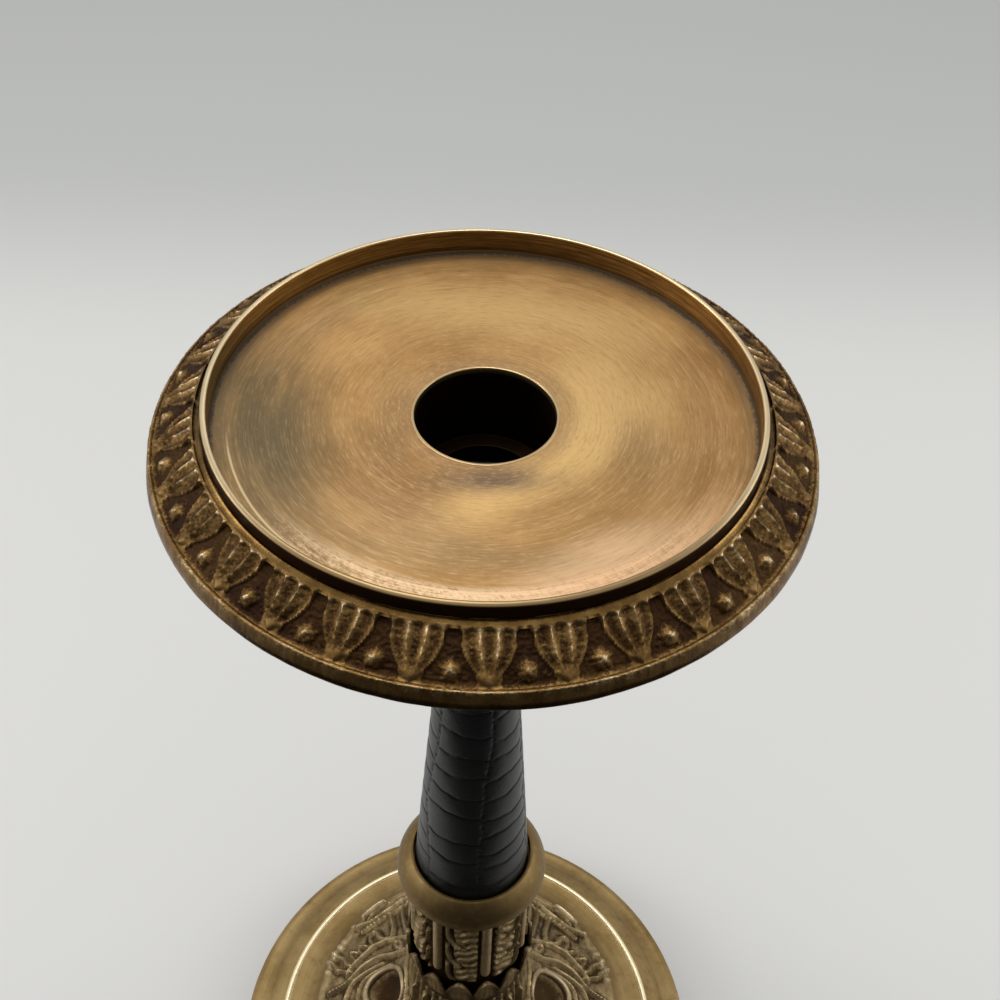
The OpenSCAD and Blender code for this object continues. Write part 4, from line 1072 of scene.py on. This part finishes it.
dish_tone = pan.coats(
    pan.mix(haze.ramp(0.3, 0.7), (0.395, 0.215, 0.073), (0.55, 0.32, 0.122)),
    # Darker towards the front of the floor: painted shade.
    (y.ramp(8 * mm, -12 * mm) * 0.55, (0.29, 0.165, 0.062)),
    *[(patch(*oval) * depth, colour) for oval, depth, colour in patches],
    (reach.ramp(16.5 * mm, 13.0 * mm) * 0.45, (0.26, 0.145, 0.075)),
    (coppery * 0.9, copper), (pinkish * 0.8, (0.78, 0.59, 0.37)),
    (sweeps.ramp(0.45, 0.75) * shine * 0.16, (0.72, 0.45, 0.19)),
    (rings.ramp(0.45, 0.75) * shine * 0.17, (0.74, 0.5, 0.24)),
    (rings.ramp(0.47, 0.25) * 0.17, (0.17, 0.095, 0.04)),
    (scratches.ramp(0.55, 0.8) * shine * 0.14, (0.82, 0.58, 0.3)),
    (brush.ramp(0.52, 0.7) * shine * 0.24, (0.76, 0.52, 0.265)),
    (brush.ramp(0.48, 0.3) * 0.22, (0.17, 0.1, 0.046)),
    (rubs.ramp(0.52, 0.8) * shine * 0.16, (0.76, 0.5, 0.23)),
    (speckle.ramp(0.63, 0.8) * 0.45, (0.1, 0.062, 0.028)),
    (speckle.ramp(0.4, 0.24) * 0.12, (0.7, 0.47, 0.22)),
    (fine_ring_glint * 0.5, (0.9, 0.7, 0.4)),
    (greyed * 0.5, (0.19, 0.142, 0.088)),
    (dark_corner * 0.88, (0.026, 0.018, 0.01)),
    (on_wall * 0.9, wall_tone),
    (on_lip * 0.9, pan.mix(y.ramp(-5 * mm, -40 * mm), lit_back_lip, shaded_front_lip)),
    (shaded_outside_lip * 0.95, (0.045, 0.018, 0.008)))
dish_rough = 0.42 + cloud * 0.08 + (scratches - 0.5) * 0.12 + (speckle - 0.5) * 0.1
dish_bump = pan.bump(scratches * 0.7 + rings * 0.4 + rubs * 0.4 + speckle * 0.5, 0.028 * mm, 0.4)
dish_brass = pan.surface(Base_Color=dish_tone, Metallic=1 - dark_corner * 0.7, Normal=dish_bump,
                         Roughness=dish_rough + dark_corner * 0.3 - on_lip * 0.1)
ring_piece("turned_dish", "dish", dish_line, dish_brass, "turned_brass")


# Candle socket
# A bright turned brass cup that is screwed into the boss under the dish. Its thin lip comes up
# flush with the floor, and the candle stands on the step above the recess for the nut.
bore_r, nut_recess_r = 11.45, 8.7
bore_seat, nut_floor, lip_high = socket_high - 15.0, socket_low + 2.0, socket_high + 0.05
socket_line = softened([
    (rod_hole_r, socket_low), (thread_r, socket_low, 0.3), (thread_r, dish_under), (hole_r, dish_under),
    (hole_r, lip_high, 0.12), (bore_r + 0.1, lip_high, 0.15), (bore_r, socket_high - 0.3, 0.1),
    (bore_r, bore_seat, 0.1), (nut_recess_r, bore_seat, 0.15), (nut_recess_r, nut_floor, 0.1),
    (rod_hole_r, nut_floor)])
bright = Finish("bright_brass")
rings, haze = lathe_marks(bright, 2600.0, 3.0), bright.noise(160.0)
in_light = bright.spot()[2].ramp((socket_high - 1.2) * mm, (socket_high - 0.1) * mm)
# Below its top edge the socket's brass is painted near black: painted shade deep in the bore.
deep_painted_shade = bright.mix(haze, (0.014, 0.007, 0.004), (0.04, 0.022, 0.009))
lip_tone = bright.mix(rings, (0.48, 0.32, 0.15), (0.7, 0.52, 0.27))
bright_brass = bright.surface(
    Base_Color=bright.mix(in_light, deep_painted_shade, lip_tone), Metallic=1.0,
    Roughness=0.46 - in_light * 0.16 + (haze - 0.5) * 0.1, Normal=bright.bump(rings, 0.04 * mm, 0.5))
ring_piece("turned_candle_socket", "candle_socket", socket_line, bright_brass, "bright_brass")
